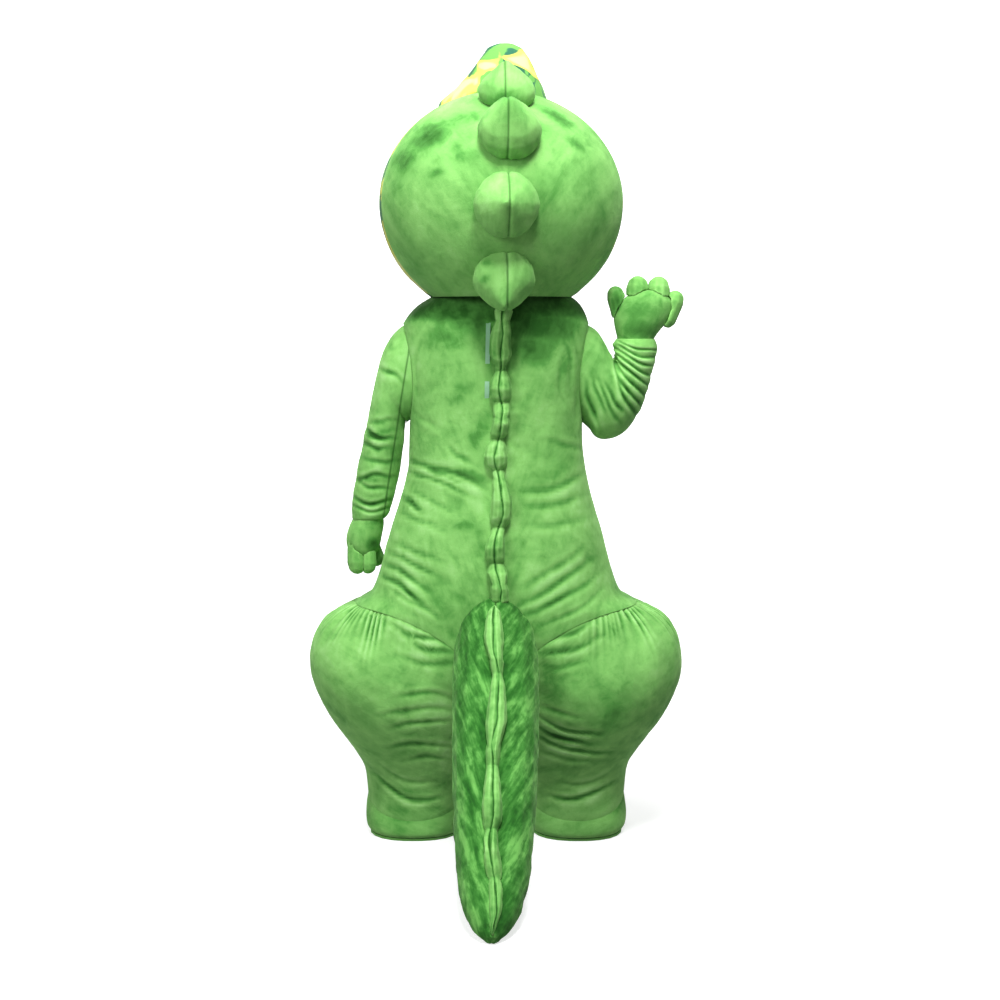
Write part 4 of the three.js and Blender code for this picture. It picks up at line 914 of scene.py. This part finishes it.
def leafy(points, normals, long=0.128, sway=0.0045, narrow=1.0):
    """Shapes a ridge into soft lobes that lie over each other like leaves, each to its own side."""
    line = crown_line(points, normals)
    turn = (points[:, 2] + 0.02 * np.sin(points[:, 2] * 9)) / long
    part = turn - np.floor(turn)
    own_side = np.where(np.floor(turn) % 2 > 0.5, 1.0, -1.0)
    swell = 0.74 + 0.42 * np.clip(part / 0.25, 0, 1) * np.clip((1.03 - part) / 0.75, 0, 1) ** 0.7
    moved = points.copy()
    aside = points[:, 0] - line
    moved[:, 0] = line + aside * swell * narrow + own_side * sway * np.sin(np.pi * part)
    # the stuffing fills the middle of the lobe, so that its seam is only a fine line
    out = normals * np.array([0, 1, 1])
    out /= np.linalg.norm(out, axis=1)[:, None].clip(1e-9)
    crown = np.clip((normals[:, 1] + 0.05) / 0.2, 0, 1)
    moved += out * (7 * MM * crown * bell(aside, 0.0075))[:, None]
    return moved


def leafy_tail(points, normals):
    """The lobes on the tail are longer and narrower, and lean more; the last tapers to the tail's tip."""
    moved = leafy(points, normals, long=0.165, sway=0.008, narrow=0.82)
    line = crown_line(points, normals)
    end = np.clip((points[:, 1] - points[:, 1].max() + 0.085) / 0.085, 0, 1)
    moved[:, 0] = line + (moved[:, 0] - line) * (1 - 0.7 * end**1.5)
    return moved + np.outer(end**2, (0, 0.014, -0.016))


def middle_seam(points, normals):
    """Distance from the winding seam down the crown of a ridge."""
    z = points[:, 2]
    wind = 0.003 * np.sin(z * 31.0) + 0.0016 * np.sin(z * 71.0 + 1)
    off = np.abs(points[:, 0] - crown_line(points, normals) - wind)
    return off + np.where(normals[:, 1] > -0.1, 0, 0.05)  # none underneath


# how far each spike narrows towards its upper and its lower end
SPIKE_ENDS = {1: (0.28, 0.0), 2: (0.3, 0.0), 3: (0.1, 0.1), 4: (0.0, 0.26)}


def pointed(upper, lower):
    """Narrows a spike towards its ends, as a leaf does."""

    def shape(points, normals):
        across = np.array(HEAD_SEAM[:3])
        aside = points @ across - HEAD_SEAM[3]
        z = points[:, 2]
        t = (z - z.min()) / (z.max() - z.min())
        less = upper * np.clip((t - 0.5) / 0.5, 0, 1) ** 1.6
        less += lower * np.clip((0.5 - t) / 0.5, 0, 1) ** 1.6
        return points - across * (aside * less)[:, None]

    return shape


for k, ends in SPIKE_ENDS.items():
    padded_piece(
        f"head_spike_{k}",
        3.0,
        "spike",
        rounds=20,
        grow=1.8,
        finish="seamed",
        groove=head_seam,
        shape=pointed(*ends),
        shade=0.0,
    )
padded_piece("head_crest", 4.5, rounds=4, grow=0.8)
padded_piece("muzzle", 4.5, rounds=4)
padded_piece("jaw", 4.5, rounds=4)
# the curled fingers of the hanging hand lie flush in the glove, the raised ones stand full
DIGIT_GROW = {"left": -0.3, "right": 0.9}
for side in ("left", "right"):
    for k in range(1, 5):
        padded_piece(
            f"digit_{side}_{k}", 2.2, f"glove_{side}", rounds=9, grow=DIGIT_GROW[side], rough=0.5
        )


def closed_tip(inner_end):
    """Plumps a half of the tail beside the seam at its tip, so that the halves meet there."""

    def shape(points, normals):
        y = points[:, 1]
        seam_x = inner_end(points[y > y.max() - 0.06, 0])
        beside = bell(points[:, 0], 0.012, seam_x)
        near_tip = np.clip((y - y.max() + 0.09) / 0.06, 0, 1)
        return points + normals * (9 * MM * beside * near_tip)[:, None]

    return shape


for name, lay, inner_end in (("tail_left", -25, np.min), ("tail_right", 40, np.max)):
    padded_piece(
        name, 5.0, "tail", rounds=4, grow=0.8, rough=2.2, lay=lay, shape=closed_tip(inner_end)
    )
for name, shape in (("ridge_back", leafy), ("ridge_tail", leafy_tail)):
    padded_piece(
        name,
        2.6,
        rounds=4,
        grow=0.5,
        rough=1.8,
        lay=10,
        groove=middle_seam,
        deep=1.6,
        wide=2.6,
        line=0.8,
        shape=shape,
        shade=0.6,
    )

PATCH_HALF = (0.024, 0.030)  # half width and half height of an eye's dark patch, in metres
for side in ("left", "right"):
    eye = padded_piece(f"eye_{side}", 2.5, rounds=4, rough=0.2)
    mesh = eye.data
    points, _ = read_points(mesh)
    middle = (points.min(0) + points.max(0)) / 2
    off = np.hypot((points[:, 0] - middle[0]) / PATCH_HALF[0], (points[:, 2] - middle[2]) / PATCH_HALF[1])
    write_values(mesh, "patch", np.clip((1.06 - off) / 0.12, 0, 1))

# what stays as its solid, with its own finish
for name in ("vision_mesh", "sole_left", "sole_right"):
    obj = frame["nodes"][name]
    obj.data.materials.clear()
    obj.data.materials.append(MATERIALS[SLOT_OF[name]])


# studio ----------------------------------------------------------------------------------------
def studio_paper(name, paper, near, far):
    """Matt white paper that glows a little, more so far off, and stays white in the picture."""
    material, tree = new_material(name)
    place = object_place(tree)
    away = node(tree, "ShaderNodeVectorMath", {"operation": "LENGTH"}, {0: place})
    glow = node(
        tree,
        "ShaderNodeMapRange",
        {},
        {"Value": (away, "Value"), "From Min": 1.0, "From Max": 3.6, "To Min": near, "To Max": far},
    )
    surface(
        tree,
        {
            "Base Color": linear(paper),
            "Roughness": 0.9,
            "IOR": 1.45,
            "Specular IOR Level": 0.1,
            "Emission Color": linear("#ffffff"),
            "Emission Strength": (glow, 0),
        },
    )
    return material


def studio_plane(name, size, at, turn, paper, near, far):
    bm = bmesh.new()
    bmesh.ops.create_grid(bm, x_segments=2, y_segments=2, size=size)
    plane = new_object(name, bm)
    plane.location = at
    plane.rotation_euler = (turn, 0, 0)
    plane.data.materials.append(studio_paper(f"{name}_paper", paper, near, far))
    plane.visible_diffuse = False  # white to the eye, without lighting the costume from below


studio_plane("studio_floor", 9.0, (0, 0, FLOOR - 0.0005), 0, "#b4b4b4", 0.7, 0.95)
studio_plane("studio_backdrop", 9.0, (0, -5.0, 0), math.radians(90), "#f7f7f7", 0.95, 0.95)


def area_light(name, at, to, size, power):
    data = bpy.data.lights.new(name, "AREA")
    data.shape = "RECTANGLE"
    data.size, data.size_y = size
    data.energy = power
    obj = bpy.data.objects.new(name, data)
    bpy.context.scene.collection.objects.link(obj)
    obj.location = at
    obj.rotation_euler = (Vector(to) - Vector(at)).to_track_quat("-Z", "Y").to_euler()


area_light("key", (-0.2, 2.4, 3.2), (0, 0, 0.1), (0.9, 0.9), 188)
area_light("side", (2.3, 3.2, 1.6), (0, 0, 0), (1.2, 1.8), 85)
area_light("front", (0.8, -3.6, 1.6), (0, 0, -0.1), (2.0, 2.0), 70)
area_light("top", (-0.2, 0.5, 2.4), (0, 0.1, 0), (1.6, 1.0), 64)
world = bpy.data.worlds.new("studio")
bpy.context.scene.world = world
world.use_nodes = True
world.node_tree.nodes["Background"].inputs["Color"].default_value = linear("#ffffff")
world.node_tree.nodes["Background"].inputs["Strength"].default_value = 0.36
bpy.context.scene.view_settings.view_transform = "Standard"

camera_data = bpy.data.cameras.new("camera")
camera_data.lens = 62.35
camera_data.sensor_width = 36.0
camera = bpy.data.objects.new("camera", camera_data)
bpy.context.scene.collection.objects.link(camera)
camera.location = (-0.0104, 4.5, FLOOR + 1.331)
camera.rotation_euler = (math.radians(90 - 5.77), 0, math.radians(180))
bpy.context.scene.camera = camera
